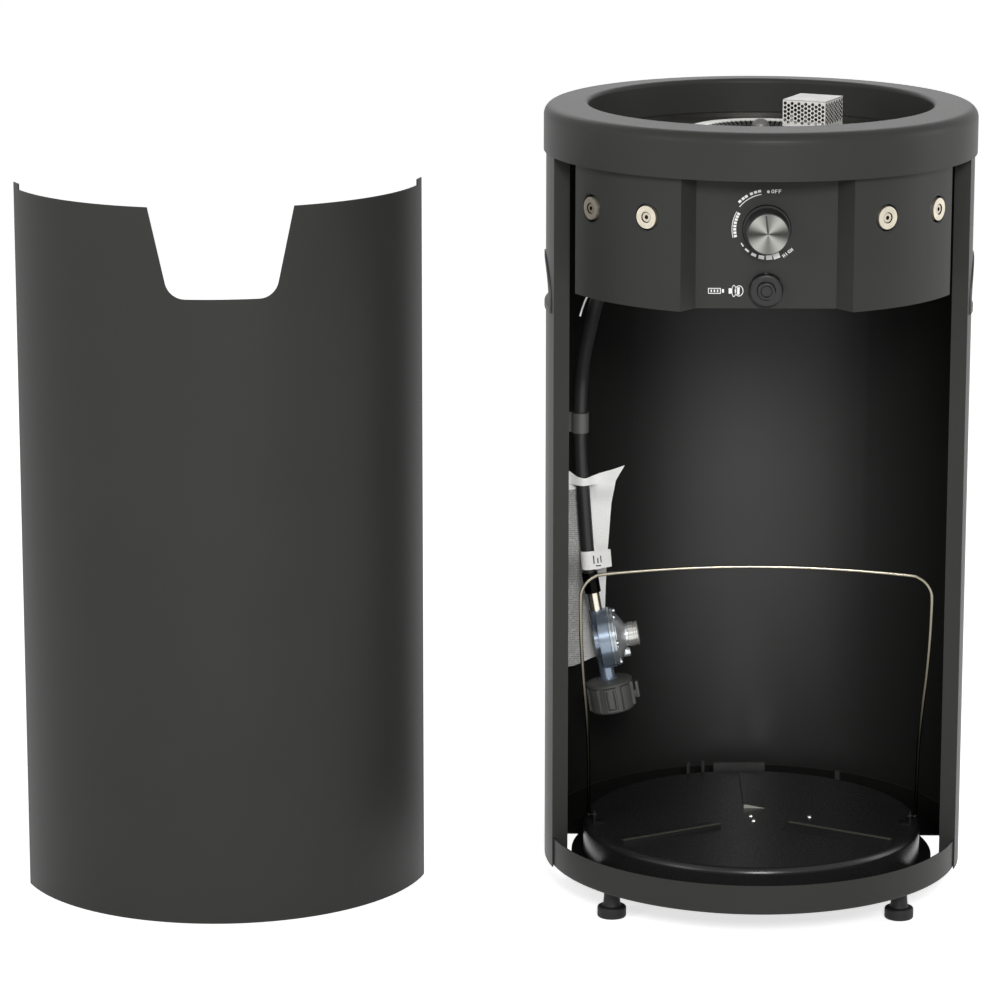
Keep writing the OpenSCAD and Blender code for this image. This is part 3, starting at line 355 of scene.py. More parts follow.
def paint_inside_shade(finish, radius, front, shine):
    """Paints shade on a round piece within a radius and behind a front plane, and makes it glossier
    there.
    """
    tree = finish.node_tree
    take = partial(step_of, tree)
    x, y, z = place_parts(tree)
    squares = take("ADD", take("POWER", x, 2.0), take("POWER", y, 2.0))
    within = take("LESS_THAN", take("SQRT", squares), radius)
    share = take("MULTIPLY", within, take("GREATER_THAN", y, front))
    blend_in(finish, share, inside_shade_colour)
    lower = node_of(tree, "MapRange", {"Value": z, "From Min": shine_top, "From Max": shine_full})
    shiny = take("MULTIPLY", share, lower.outputs["Result"])
    gloss = take("ADD", take("MULTIPLY", shiny, shine - coat_gloss), coat_gloss)
    set_inputs(tree, tree.nodes["Principled BSDF"], {"Specular IOR Level": gloss})


# The shell's and the base's insides are darkened: painted shade in the open bay.
shell_coat = surface("shell_coat", coat_colour, **coat)
paint_inside_shade(shell_coat, radius=0.1971, front=-0.0485, shine=0.5)
dress(shell_coat, "column_shell")
base_coat = surface("base_coat", coat_colour, **coat)
paint_inside_shade(base_coat, radius=0.1955, front=-0.3, shine=coat_gloss)
dress(base_coat, "base_pan")
bracket_zinc = surface("bracket_zinc", (168, 170, 172),
                       0.35, metal=1.0, blotch=120, grain=600, bump=0.05)
dress(bracket_zinc, "ring_brackets", "ring_screws", "panel_screws", "foot_nuts", "valve_nut")
screw_black = surface("screw_black", (28, 28, 28), 0.4, metal=0.6)
dress(screw_black, "base_screws")


# Hand-hold edging. Black soft plastic channel, extruded by the metre, cut and pushed onto the
# edge of each half-round hole in the shell.
edging_black = surface("edging_black", (26, 26, 26), 0.5, grain=700, bump=0.05)
dress(edging_black, "handhold_trims")


# Burner pan and shield. Dull dark stainless dish dropped into the ring's ledge, with the slotted
# ring burner under its dome nut, and the plain plate with three bosses below that keeps the heat
# off the gas bottle.
pan_steel = surface("pan_steel", (66, 65, 62), 0.42, metal=0.85, blotch=25, shift=0.2, grain=700)
dress(pan_steel, "burner_pan")
bright_steel = surface("bright_steel", (196, 196, 192),
                       0.3, metal=1.0, blotch=60, shift=0.06, grain=800)
dress(bright_steel, "heat_shield", "mixer_tube", "air_shutter", "feed_tube", "valve_stem",
      "thermocouple")
burner_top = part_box("ring_burner")[1][2]
burner_steel = surface("burner_steel", (186, 185, 180),
                       0.34, metal=0.8, blotch=60, shift=0.06, grain=800)
# Below its top the ring burner turns near-black: painted shade in the bowl.
turn_to(burner_steel, (0, 0, 1), burner_top - 0.0006, burner_top - 0.0012, (26, 25, 24))
dress(burner_steel, "ring_burner")
dome_steel = surface("dome_steel", (102, 101, 98), 0.45, metal=0.7, blotch=90)
dress(dome_steel, "dome_nut")


# Electrode cage. Perforated stainless sheet, folded into a lidded box and welded to the pan
# by two feet, with the white ceramic electrode inside.
cage_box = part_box("electrode_cage")
cage_high = 1000 * cage_box[1][2]
cage_feet = 1000 * cage_box[0][2]
cage_low = 1000 * burner_top + 0.1
cage_wide, cage_long = 42.0, 46.0
cage_sheet = 0.8
cage_edge = 0.7
wall_gap = 0.04
pore_pitch = 3.9
pore_radius = 1.55
pore_margin = 0.6
cage_place = (Matrix.Translation((0.0495, 0.026, 0)) @ Matrix.Rotation(math.radians(-24), 4, "Z")
              @ Matrix.Scale(0.001, 4))
cage_corners, cage_faces, cage_finish = {}, [], []


def cage_face(corners, finish=0):
    """One face of the cage, in millimetres in its own place; finish 0 is wall, 1 the inside in painted
    shade, 2 the lid in a darker, shaded copy of the steel.
    """
    spots = [tuple(round(v, 3) for v in q) for q in corners]
    cage_faces.append([cage_corners.setdefault(q, len(cage_corners)) for q in spots])
    cage_finish.append(finish)


def cut_cell(cell, axis, limit, way):
    """The part of a flat cell that lies on one side of a line."""
    kept = []
    for p, q in zip(cell, cell[1:] + cell[:1]):
        here, there = way * (p[axis] - limit), way * (q[axis] - limit)
        if here <= 0:
            kept.append(p)
        if here * there < 0:
            t = here / (here - there)
            kept.append((p[0] + (q[0] - p[0]) * t, p[1] + (q[1] - p[1]) * t))
    return kept


def perforated(wide, tall, spot):
    """A sheet with round holes in staggered columns; spot turns (along, up, deep) into a point."""
    inner = wide / 2 - cage_edge
    row_pitch = pore_pitch * math.sin(math.radians(60))
    columns = round(2 * inner / row_pitch)
    step = 2 * inner / columns
    cells = []
    for i in range(-1, columns + 1):
        for j in range(-1, math.ceil(tall / pore_pitch) + 1):
            x, y = (i + 0.5) * step - inner, (j + 0.5 + 0.5 * (i % 2)) * pore_pitch
            rim, hole = [], []
            for k in range(12):
                a = math.radians(30 * k)
                out = pore_pitch / 2 if k % 2 else pore_pitch / math.sqrt(3)
                rim.append((x + out * math.cos(a) * step / row_pitch, y + out * math.sin(a)))
                hole.append((x + pore_radius * math.cos(a), y + pore_radius * math.sin(a)))
            if 0 <= i < columns and pore_radius + pore_margin < y < tall - pore_radius - pore_margin:
                cells += [[rim[k - 1], rim[k], hole[k], hole[k - 1]] for k in range(12)]
                continue
            for axis, limit, way in ((0, wide / 2, 1), (0, -wide / 2, -1), (1, tall, 1), (1, 0, -1)):
                rim = cut_cell(rim, axis, limit, way)
            cells.append(rim)
    border = {}
    for cell in cells:
        cell = list(dict.fromkeys((round(u, 3), round(v, 3)) for u, v in cell))
        sides = list(zip(cell, cell[1:] + cell[:1]))
        if abs(sum(p[0] * q[1] - p[1] * q[0] for p, q in sides)) < 0.002:
            continue
        cage_face([spot(u, v, 0) for u, v in cell])
        cage_face([spot(u, v, cage_sheet) for u, v in cell], 1)
        for side in sides:
            if border.pop(frozenset(side), None) is None:
                border[frozenset(side)] = side
    for p, q in border.values():
        cage_face([spot(*p, 0), spot(*q, 0), spot(*q, cage_sheet), spot(*p, cage_sheet)], 1)


wall_tall = cage_high - cage_sheet - cage_low
side_long = cage_long - 2 * cage_sheet - wall_gap
for side in (-1, 1):
    perforated(cage_wide, wall_tall, lambda u, v, d, s=side: (u, s * (cage_long / 2 - d), cage_low + v))
    perforated(side_long, wall_tall, lambda u, v, d, s=side: (s * (cage_wide / 2 - d), u, cage_low + v))


def cage_block(low, high, outside=0, below=0):
    """A plain piece of the cage's sheet between two corners."""
    ends = list(product(*zip(low, high)))
    for face in ((1, 3, 7, 5), (0, 1, 5, 4), (2, 6, 7, 3), (0, 2, 3, 1), (4, 5, 7, 6)):
        cage_face([ends[i] for i in face], outside)
    cage_face([ends[i] for i in (0, 4, 6, 2)], below)


wall_x = cage_wide / 2
foot_top = cage_feet + cage_sheet
cage_block((-wall_x, -cage_long / 2, cage_high - cage_sheet), (wall_x, cage_long / 2, cage_high), 2, 1)
cage_block((-wall_x, -13, cage_feet), (-wall_x + cage_sheet, -3, cage_low + 0.2))
cage_block((-wall_x + 0.4, -12.9, cage_feet + 0.01), (-wall_x + 4, -3.1, foot_top))
cage_block((wall_x - cage_sheet, 13, cage_feet), (wall_x, 23, cage_low + 0.2))
cage_block((wall_x - 0.4, 13.1, cage_feet + 0.01), (wall_x + 7.2, 22.9, foot_top))
cage = mesh_piece("cage", [cage_place @ Vector(q) for q in cage_corners], cage_faces)
# Inner sides and hole walls get painted shade; the lid is coloured darker than the walls of the same
# sheet, painted shade on the top.
cage_steel = surface("cage_steel", (232, 230, 225), 0.38, metal=0.15, blotch=90, shift=0.05)
cage_shade = surface("cage_shade", (22, 21, 20), 0.6, blotch=90, gloss=0.2)
cage_lid_shaded = surface("cage_lid_shaded", (186, 185, 182), 0.38, metal=0.3, blotch=90, stretch=(1, 8, 1))
fit(cage_steel, cage, "column")
cage.data.materials.append(cage_shade)
cage.data.materials.append(cage_lid_shaded)
for face, finish in zip(cage.data.polygons, cage_finish):
    face.material_index = finish
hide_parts("electrode_cage")
glazed_white = surface("glazed_white", (228, 226, 220), 0.18, shift=0.03, bump=0.01)
dress(glazed_white, "spark_electrode")


# Gas valve and its fittings. Machined brass, screwed together behind the panel, with a wound
# steel spring inside the plug that pushes the knob's stem back out.
valve_brass = surface("valve_brass", (190, 160, 96), 0.3, metal=1.0, blotch=80)
dress(valve_brass, "injector", "tube_nuts", "gas_valve", "valve_plug", "hose_union")


def coil_spring(node, body, turns, wire_radius):
    """A wound spring in its CAD node's place, tied to a body."""
    low, high = (Vector(q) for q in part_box(node))
    middle = (low + high) / 2
    length = high.y - low.y
    coil_radius = (high.x - low.x) / 2 - wire_radius
    per_turn, sides = 20, 8
    points, faces = [], []
    for i in range(turns * per_turn + 1):
        a = 2 * math.pi * i / per_turn
        along = low.y + wire_radius + (length - 2 * wire_radius) * i / (turns * per_turn)
        for k in range(sides):
            b = 2 * math.pi * k / sides
            off = coil_radius + wire_radius * math.cos(b)
            points.append((middle.x + off * math.cos(a), along + wire_radius * math.sin(b),
                           middle.z - off * math.sin(a)))
            j = i * sides
            if i:
                faces.append((j - sides + k, j - sides + (k + 1) % sides, j + (k + 1) % sides, j + k))
    faces += [tuple(range(sides)), tuple(range(len(points) - sides, len(points)))]
    spring = mesh_piece(node + "_coil", points, faces, 60)
    fit(bright_steel, spring, body)
    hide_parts(node)
    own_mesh(spring)


coil_spring("valve_spring", "valve_plug", turns=6, wire_radius=0.00066)


# Knob. Black moulded body on a black bezel, with a pressed-in aluminium face turned on a lathe and
# one black pointer line; the face's two bright fans and the dark sectors between them are painted
# highlights and painted shade.
moulded_black = surface("moulded_black", (22, 22, 22), 0.42, grain=1100)
dress(moulded_black, "control_knob", "knob_bezel")
turned_face = surface("turned_face", (152, 152, 147), 0.34, metal=1.0, blotch=60, shift=0.03, bump=0.02)
dress(turned_face, "knob_face")
face_low, face_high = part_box("knob_face")
knob_centre = (Vector(face_low) + Vector(face_high)) / 2
face_radius = (face_high[0] - face_low[0]) / 2
face_tree = turned_face.node_tree
take = partial(step_of, face_tree)
face_place = place_parts(face_tree)
face_up = take("SUBTRACT", face_place["Z"], knob_centre.z)
face_right = take("SUBTRACT", face_place["X"], knob_centre.x)
face_angle = take("ARCTAN2", face_up, face_right)
# Painted highlights and painted shade: the face darkens and brightens in sectors by its angle.
painted_fan_waves = ((4.0, 0.33), (2.0, 0.14))
painted_fan_shade = 0.45
for count, depth in painted_fan_waves:
    wave = take("COSINE", take("MULTIPLY", face_angle, count))
    painted_fan_shade = take("ADD", take("MULTIPLY", wave, depth), painted_fan_shade)
blend_in(turned_face, painted_fan_shade, (30, 30, 28))


def polar(reach, angle):
    """A point at a distance and an angle in degrees from a middle point."""
    return reach * math.cos(math.radians(angle)), reach * math.sin(math.radians(angle))


def spun(points, u, v, angle):
    """Points turned by an angle in degrees and moved to a middle point."""
    c, s = polar(1, angle)
    return [(u + c * x - s * y, v + s * x + c * y) for x, y in points]


class Marks:
    """Thin raised marks on an upright face that looks forward, gathered into one mesh."""

    def __init__(self, centre, front, thick):
        self.centre = centre
        self.front = front
        self.thick = thick
        self.points = []
        self.faces = []

    def corners(self, outline):
        """Adds an outline's back and front points and gives the first one's number."""
        first = len(self.points)
        for y in (self.front, self.front - self.thick):
            for u, v in outline:
                self.points.append((self.centre.x + u / 1000, y, self.centre.z + v / 1000))
        return first

    def shape(self, outline):
        """A filled mark with the given outline, in millimetres from the centre."""
        n = len(outline)
        first = self.corners(outline)
        self.faces.append([first + i for i in range(n)])
        self.faces.append([first + n + i for i in range(n)])
        for i in range(n):
            j = (i + 1) % n
            self.faces.append((first + i, first + j, first + n + j, first + n + i))

    def hoop(self, inner, outer):
        """A closed band between two outlines with the same number of points."""
        n = len(inner)
        a = self.corners(inner)
        b = self.corners(outer)
        for i in range(n):
            j = (i + 1) % n
            self.faces += [(a + i, a + j, b + j, b + i), (a + n + i, a + n + j, b + n + j, b + n + i),
                           (a + i, a + j, a + n + j, a + n + i), (b + i, b + j, b + n + j, b + n + i)]

    def bar(self, u, v, wide, tall, turn=0.0):
        """A bar about a middle point, turned by an angle in degrees."""
        self.shape(spun(rectangle(0, 0, wide, tall), u, v, turn))

    def line(self, route, wide):
        """A line of one width along a route."""
        left, right = [], []
        for i, q in enumerate(route):
            a = Vector(route[max(i - 1, 0)])
            b = Vector(route[min(i + 1, len(route) - 1)])
            across = (b - a).normalized().orthogonal() * wide / 2
            left.append(Vector(q) + across)
            right.append(Vector(q) - across)
        self.shape(left + right[::-1])

    def arc(self, radius, start, end, wide):
        """Part of a circle about the centre, between two angles in degrees."""
        count = max(2, round(abs(end - start) / 4))
        turns = [start + (end - start) * i / count for i in range(count + 1)]
        self.line([polar(radius, a) for a in turns], wide)

    def piece(self, name):
        """The object with all the marks."""
        return mesh_piece(name, self.points, self.faces)


pointer_turn = 97
pointer_reach = 940 * face_radius
pointer_wide = 1.6
pointer_mark = Marks(knob_centre, face_low[1], 0.00015)
pointer_mark.line([(0, 0), polar(pointer_reach, pointer_turn)], pointer_wide)
pointer = pointer_mark.piece("pointer")
fit(moulded_black, pointer, "knob")


# Dial marks. White screen print on the panel round the knob: off mark, flame bars that grow
# towards high, and two small signs beside the igniter. Other words are plain dashes.
print_white = surface("print_white", (236, 236, 232), 0.5, shift=0.03, grain=1200, bump=0.04)
panel_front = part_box("knob_bezel")[1][1]
dial = Marks(knob_centre, panel_front, 0.0001)


def ellipse(u, v, wide, tall, count=20):
    """Points on an ellipse about a middle point."""
    turns = [2 * math.pi * i / count for i in range(count)]
    return [(u + wide / 2 * math.cos(a), v + tall / 2 * math.sin(a)) for a in turns]


letter_forms = {
    "F": [(0, 0), (0.22, 0), (0.22, 0.42), (0.6, 0.42), (0.6, 0.6), (0.22, 0.6), (0.22, 0.82),
          (0.7, 0.82), (0.7, 1), (0, 1)],
    "H": [(0, 0), (0.22, 0), (0.22, 0.42), (0.52, 0.42), (0.52, 0), (0.74, 0), (0.74, 1), (0.52, 1),
          (0.52, 0.6), (0.22, 0.6), (0.22, 1), (0, 1)],
    "I": [(0.2, 0), (0.42, 0), (0.42, 1), (0.2, 1)],
    "G": [(0.76, 0.55), (0.76, 0.08), (0.4, 0), (0.1, 0.18), (0, 0.5), (0.1, 0.82), (0.4, 1),
          (0.74, 0.88), (0.66, 0.7), (0.4, 0.8), (0.26, 0.68), (0.22, 0.5), (0.26, 0.32), (0.4, 0.2),
          (0.56, 0.24), (0.56, 0.38), (0.42, 0.38), (0.42, 0.55)],
}


def letters(marks, word, u, v, tall, turn=0.0):
    """A word in plain capitals whose middle is at a point."""
    step = 0.95 * tall
    for i, letter in enumerate(word):
        along = (i - len(word) / 2) * step
        if letter == "O":
            middle = spun([(along + 0.38 * tall, 0)], u, v, turn)[0]
            marks.hoop(ellipse(*middle, 0.4 * tall, 0.6 * tall), ellipse(*middle, 0.8 * tall, tall))
        else:
            flat = [(along + tall * x, tall * (y - 0.5)) for x, y in letter_forms[letter]]
            marks.shape(spun(flat, u, v, turn))


dial.shape(ellipse(1, 33.5, 2.6, 2.6, 14))
letters(dial, "OFF", 8.5, 33.8, 3.4)
dial.arc(31.5, 141, 99, 0.7)
for a in (134.5, 128, 122.5, 114, 107.5, 101.5):
    dial.arc(34.6, a + 2.3, a - 2.3, 2.3)
dial.arc(31, 195, 150, 0.6)
for a in (152, 157.5, 163, 169, 175, 181, 187, 193):
    dial.arc(28.6, a + 2.2, a - 2.2, 2.7)
flame_reach = 26.0
flame_angles = (213.6, 228, 244.4, 260, 275.4, 290)
for i, a in enumerate(flame_angles):
    grow = i / (len(flame_angles) - 1)
    dial.bar(*polar(flame_reach, a), 3.8 + 2.2 * grow, 1.0 + 3.8 * grow, a - 270)
letters(dial, "HIGH", *polar(28.7, 312), 3.0, 38)
battery_u, sign_v = -46.0, -56.2
dial.hoop(rectangle(battery_u, sign_v, 10, 3.8), rectangle(battery_u, sign_v, 11.4, 5.2))
for shift in (-2.8, 0, 2.8):
    dial.bar(battery_u + shift, sign_v, 1.2, 2.4)
dial.bar(battery_u + 7.6, sign_v, 1.8, 3.2)
cap_u = -26.0
dial.hoop(ellipse(cap_u + 2, sign_v, 6.4, 8.6), ellipse(cap_u + 2, sign_v, 7.8, 10))
dial.hoop(ellipse(cap_u - 2.6, sign_v, 3.0, 9.6), ellipse(cap_u - 2.6, sign_v, 4.2, 11))
dial.bar(cap_u - 6.0, sign_v, 2.6, 4.8)
dial.bar(cap_u + 1.4, sign_v, 2.2, 6.6)
dial_print = dial.piece("dial_print")
fit(print_white, dial_print, "column")


# Push-button igniter. Satin black moulded body through the panel, a screw cap over the battery
# and a round button, with the dry cell and its contact spring inside.
igniter_black = surface("igniter_black", (9, 9, 9), 0.3, grain=1100, bump=0.05, gloss=0.4)
dress(igniter_black, "igniter_body", "igniter_nut", "igniter_cap", "igniter_button")
battery_can = surface("battery_can", (96, 92, 84), 0.35, metal=0.4)
dress(battery_can, "igniter_battery")
coil_spring("battery_spring", "column", turns=4, wire_radius=0.00056)


# Door magnets. Four nickel-plated cup magnets pressed into black recessed cups on the panel,
# each held by a centre screw; their sunk middles are darkened with painted shade.
cup_black = surface("cup_black", (18, 18, 18), 0.4, bump=0.05)
dress(cup_black, "magnet_cups")
magnet_nickel = surface("magnet_nickel", (208, 200, 182), 0.3, metal=0.8, blotch=90, bump=0.05)
magnet_screw = surface("magnet_screw", (202, 193, 175), 0.3, metal=0.8, blotch=90, bump=0.05)
magnet_height = sum(q[2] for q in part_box("door_magnets")) / 2
magnet_turns = (34.3, 55.3)


def paint_middle_shade(finish, radius):
    """Paints shade on a finish within a distance from the magnets' axes, which all cross the column's
    axis.
    """
    tree = finish.node_tree
    take = partial(step_of, tree)
    x, y, z = place_parts(tree)
    height = take("SUBTRACT", z, magnet_height)
    spot = node_of(tree, "CombineXYZ", {"X": take("ABSOLUTE", x), "Y": y, "Z": height})
    off = []
    for turn in magnet_turns:
        way = (*polar(1, turn - 90), 0)
        cross = node_of(tree, "VectorMath", {0: spot.outputs["Vector"], 1: way}, "CROSS_PRODUCT")
        length = node_of(tree, "VectorMath", {0: cross.outputs["Vector"]}, "LENGTH")
        off.append(length.outputs["Value"])
    near = take("LESS_THAN", take("MINIMUM", *off), radius)
    blend_in(finish, near, (26, 24, 21))


paint_middle_shade(magnet_nickel, 0.005)
paint_middle_shade(magnet_screw, 0.0019)
dress(magnet_nickel, "door_magnets")
dress(magnet_screw, "magnet_screws")


# Bottle tray. Pressed steel dish with a matt black coat, riveted through its middle. Three
# louvres are slit and pushed up; the front louvres' lips and the ends that face the tray's middle carry
# painted highlights.
tray_black = surface("tray_black", (31, 31, 31), 0.28, shift=0.05, grain=1300, bump=0.06, gloss=0.3)
louvre_middle = -0.008
louvre_lip = 0.0642


def paint_louvre_highlights(finish, lip_highlight, end_highlight):
    """Paints highlights on the front louvres' lips and on the ends that look to the tray's middle."""
    tree = finish.node_tree
    take = partial(step_of, tree)
    parts = place_parts(tree)
    high = take("GREATER_THAN", parts["Z"], louvre_lip)
    lip = take("MULTIPLY", high, take("LESS_THAN", parts["Y"], 0.0))
    blend_in(finish, lip, lip_highlight)
    shift = {0: object_place(tree), 1: (1, 1, 0), 2: (0, -louvre_middle, 0)}
    off = node_of(tree, "VectorMath", shift, "MULTIPLY_ADD").outputs["Vector"]
    way = node_of(tree, "NewGeometry", {}).outputs["True Normal"]
    facing = node_of(tree, "VectorMath", {0: off, 1: way}, "DOT_PRODUCT").outputs["Value"]
    blend_in(finish, take("LESS_THAN", facing, -0.02), end_highlight)


# Light grey lips and bright inner ends on the louvres: painted highlights.
paint_louvre_highlights(tray_black, (80, 77, 70), (150, 148, 142))
dress(tray_black, "bottle_tray")
# The ears get a darker copy of the tray's black coat: painted shade.
ear_shade_black = surface("ear_shade_black", (16, 16, 16), 0.6, grain=1300, bump=0.06, gloss=0.15)
dress(ear_shade_black, "bail_ears")
stop_grey = surface("stop_grey", (88, 88, 86), 0.45, shift=0.06, grain=1200, bump=0.06)
dress(stop_grey, "hose_clip")
stop_dark = surface("stop_dark", (46, 46, 45), 0.45, shift=0.06, grain=1200, bump=0.06, gloss=0.3)
dress(stop_dark, "tray_stops")
dress(bright_steel, "tray_rivets")


# Bottle bail. One bent nickel-plated wire that holds the bottle upright; its lower ends turn
# inwards through the two ears on the tray.
wire_diameter = 0.0034
bail_pivot = Vector((0, -16, 68)) / 1000
bail_lean = math.radians(7.8)
bail_half = 164.0
bail_corner = 24.0
bail_height = 247.0
bail_bow = 8.0
bail_side = [(148, 0), (151.5, 0), (154.2, 1.2), (155.5, 4.5), (155.6, 20), (155.7, 40), (156.3, 75),
             (158.5, 110), (161.5, 145), (163.4, 180), (bail_half, 205)]
for a in range(0, 81, 16):
    out, up = polar(bail_corner, a)
    bail_side.append((bail_half - bail_corner + out, bail_height - bail_corner + up))
for x in (110, 80, 50, 20):
    bail_side.append((x, bail_height + bail_bow * (1 - (x / (bail_half - bail_corner)) ** 2)))
bail_line = [(x, 0, z) for x, z in bail_side] + [(-x, 0, z) for x, z in reversed(bail_side)]
bail_turn = Matrix.Rotation(bail_lean, 3, "X")
bail_route = [bail_pivot + bail_turn @ q / 1000 for q in smooth_route(bail_line, 5)]
bail = round_wire("bail", bail_route, wire_diameter)
wire_nickel = surface("wire_nickel", (146, 140, 125), 0.24, metal=1.0, blotch=30, bump=0.01)
# The wire darkens towards its feet: painted shade.
turn_to(wire_nickel, (0, 0, 1), 0.3, 0.15, (34, 31, 26))
fit(wire_nickel, bail, "bail")
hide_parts("bottle_bail")


# Levelling feet. Black rubber-faced pads moulded on threaded studs, which are screwed into nuts
# under the base; the door's round buffer is of the same rubber.
foot_rubber = surface("foot_rubber", (26, 26, 26), 0.6, grain=600, bump=0.1, gloss=0.3)
dress(foot_rubber, "foot_front_left", "foot_front_right", "foot_back_left", "foot_back_right",
      "door_buffer")


# Regulator. Blue-grey lacquered die casting with a bright layered cover, held by six screws,
# a small vent spigot and a chromed cap over its spring.
hang_place = (Matrix.Translation(hang_mm / 1000) @ Matrix.Rotation(-hang_lean, 4, "Y")
              @ Matrix.Scale(0.001, 4))
cover_place = hang_place @ Matrix.Translation((0, 0, 55)) @ Matrix.Rotation(math.pi / 2, 4, "Y")


def turned(name, profile, place, steps=56):
    """A turned piece: radius and height pairs swept about the z axis of a place."""
    points, rings, faces = [], [], []
    for radius, height in profile:
        count = steps if radius > 0 else 1
        rings.append(range(len(points), len(points) + count))
        for k in range(count):
            points.append(place @ Vector((*polar(radius, 360 * k / steps), height)))
    for low, high in zip(rings, rings[1:]):
        for k in range(steps):
            ends = (low[k % len(low)], low[(k + 1) % len(low)],
                    high[(k + 1) % len(high)], high[k % len(high)])
            corners = list(dict.fromkeys(ends))
            if len(corners) > 2:
                faces.append(corners)
    return mesh_piece(name, points, faces)


cast_grey = surface("cast_grey", (130, 143, 158),
                    0.22, metal=0.6, blotch=70, shift=0.08, grain=500, bump=0.01)
dress(cast_grey, "regulator_body")
cover_rim = turned("regulator_rim", [
    (0, 9), (28.4, 9), (29, 9.6), (29, 11.4), (28.5, 12), (27.7, 12.1), (27.7, 12.6), (28.2, 12.9),
    (28.2, 14.6), (27.6, 15.1), (24.6, 15.2), (23.8, 15), (0, 15)], cover_place)
rim_grey = surface("rim_grey", (170, 178, 184),
                   0.2, metal=0.7, blotch=70, shift=0.06, grain=500, bump=0.01)
fit(rim_grey, cover_rim, "column")
cover_bright = surface("cover_bright", (210, 213, 214),
                       0.2, metal=0.7, blotch=60, shift=0.05, grain=600, bump=0.01)
cover = turned("regulator_dome", [
    (0, 14.9), (24.4, 14.9), (24.2, 15.8), (22.4, 17.2), (18.6, 20), (15, 22.2), (13.6, 23.2),
    (12.2, 23.6), (11, 24), (11, 26.4), (0, 26.4)], cover_place)
fit(cover_bright, cover, "column")
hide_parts("regulator_cover")
chrome = surface("chrome", (202, 201, 196),
                 0.12, metal=0.6, blotch=30, shift=0.03, grain=400, bump=0.01)
cap = turned("regulator_cap", [
    (0, 26.2), (11.2, 26.2), (12, 26.7), (12, 31.6), (11.3, 31.9), (11.3, 34.1), (12, 34.4), (12, 35.5),
    (11.5, 36), (10, 36), (9.4, 35.4), (9.2, 34.4), (0, 34.2)], cover_place)
fit(chrome, cap, "column")
spigot = turned("vent_spigot", [
    (0, 15), (4.3, 15), (4.5, 15.5), (4.5, 24.9), (4.1, 25.5), (2.9, 25.5), (2.6, 25.1), (2.5, 19),
    (0, 19)], cover_place @ Matrix.Translation((17.2, 0, 0)), 28)
fit(cover_bright, spigot, "column")
screw_circle = 25.6
for i in range(6):
    screw = turned("cover_screw_%d" % i, [
        (0, 15), (2.6, 15), (2.6, 16), (2.2, 16.9), (1.5, 17.2), (1.1, 17.2), (1, 16.4), (0, 16.4)],
        cover_place @ Matrix.Translation((*polar(screw_circle, 30 + 60 * i), 0)), 18)
    fit(bracket_zinc, screw, "column")


# Crimp. A turned, cream-plated steel ferrule on the regulator's inlet, under a black sleeve
# that is pressed round the end of the hose.
sleeve_low = (hang_mm.dot(hang_axis) + 101.8) / 1000
crimp = surface("crimp", (222, 214, 198), 0.16, metal=0.95, blotch=90, grain=700, bump=0.02)
turn_to(crimp, hang_axis, sleeve_low, sleeve_low + 0.0003, (12, 12, 12))
dress(crimp, "hose_crimp")


# Coupling nut. Black moulded hand nut with eight grip pads, a finger lug at its side and a
# bore for the bottle's valve; it turns freely on the regulator's nipple.
nut_black = surface("nut_black", (76, 76, 74), 0.5, grain=700, bump=0.1)
nut_steps = 240
nut_radius = 20.5
pad_count = 8
pad_share = 0.74
pad_edge = 0.12
pad_height = 2.3
pad_low, pad_high = -13.2, 10
slit_depth = 2.2
slit_inner, slit_outer = 2.7, 4.1
slit_low, slit_foot, slit_high = -11, -9.5, 8.2


def grip(a, z):
    """How far the nut's wall stands out at an angle and a height, in millimetres."""
    near = abs(((a / (2 * math.pi) * pad_count + 0.5) % 1) - 0.5) * 2
    edge = min(1, max(0, (pad_share - near) / pad_edge))
    pad = pad_height * edge * edge * (3 - 2 * edge)
    off = abs((nut_radius + pad_height) * ((a - math.pi / 2) % (2 * math.pi) - math.pi))
    side_slit = slit_inner < off < slit_outer and slit_low < z < slit_high
    foot_slit = off <= slit_inner + 0.1 and slit_low < z < slit_foot
    return pad - (slit_depth if (side_slit or foot_slit) and pad > 2 else 0)


nut_wall = [-13.9, -13.3, -12.8, -11.1, -10.9, -9.6, -9.4, -5.5, -2, 2, 5.5, 8.1, 8.3, 9.6, 10.2]
nut_profile = [(9.05, 10.5), (16.7, 10.5), (16.7, -14.6), (17.4, -15.5), (19.4, -15.5), (20.3, -14.8)]
nut_profile += [(nut_radius, z) for z in nut_wall]
nut_profile += [(22.4, 10.8), (22.6, 11.5), (22.6, 12.6), (22, 13.2), (18, 14.2), (11, 15.3),
                (9.05, 15.5)]
nut_points, nut_faces = [], []
for i, (radius, z) in enumerate(nut_profile):
    a, b = i * nut_steps, (i + 1) % len(nut_profile) * nut_steps
    pads = radius == nut_radius and pad_low < z < pad_high
    for k in range(nut_steps):
        turn = 360 * k / nut_steps
        out = radius + (grip(math.radians(turn), z) if pads else 0)
        nut_points.append(hang_place @ Vector((*polar(out, turn), z)))
        j = (k + 1) % nut_steps
        nut_faces.append((a + k, a + j, b + j, b + k))
nut = mesh_piece("hand_nut", nut_points, nut_faces, 40)
fit(nut_black, nut, "coupling_nut")
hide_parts("coupling_nut")


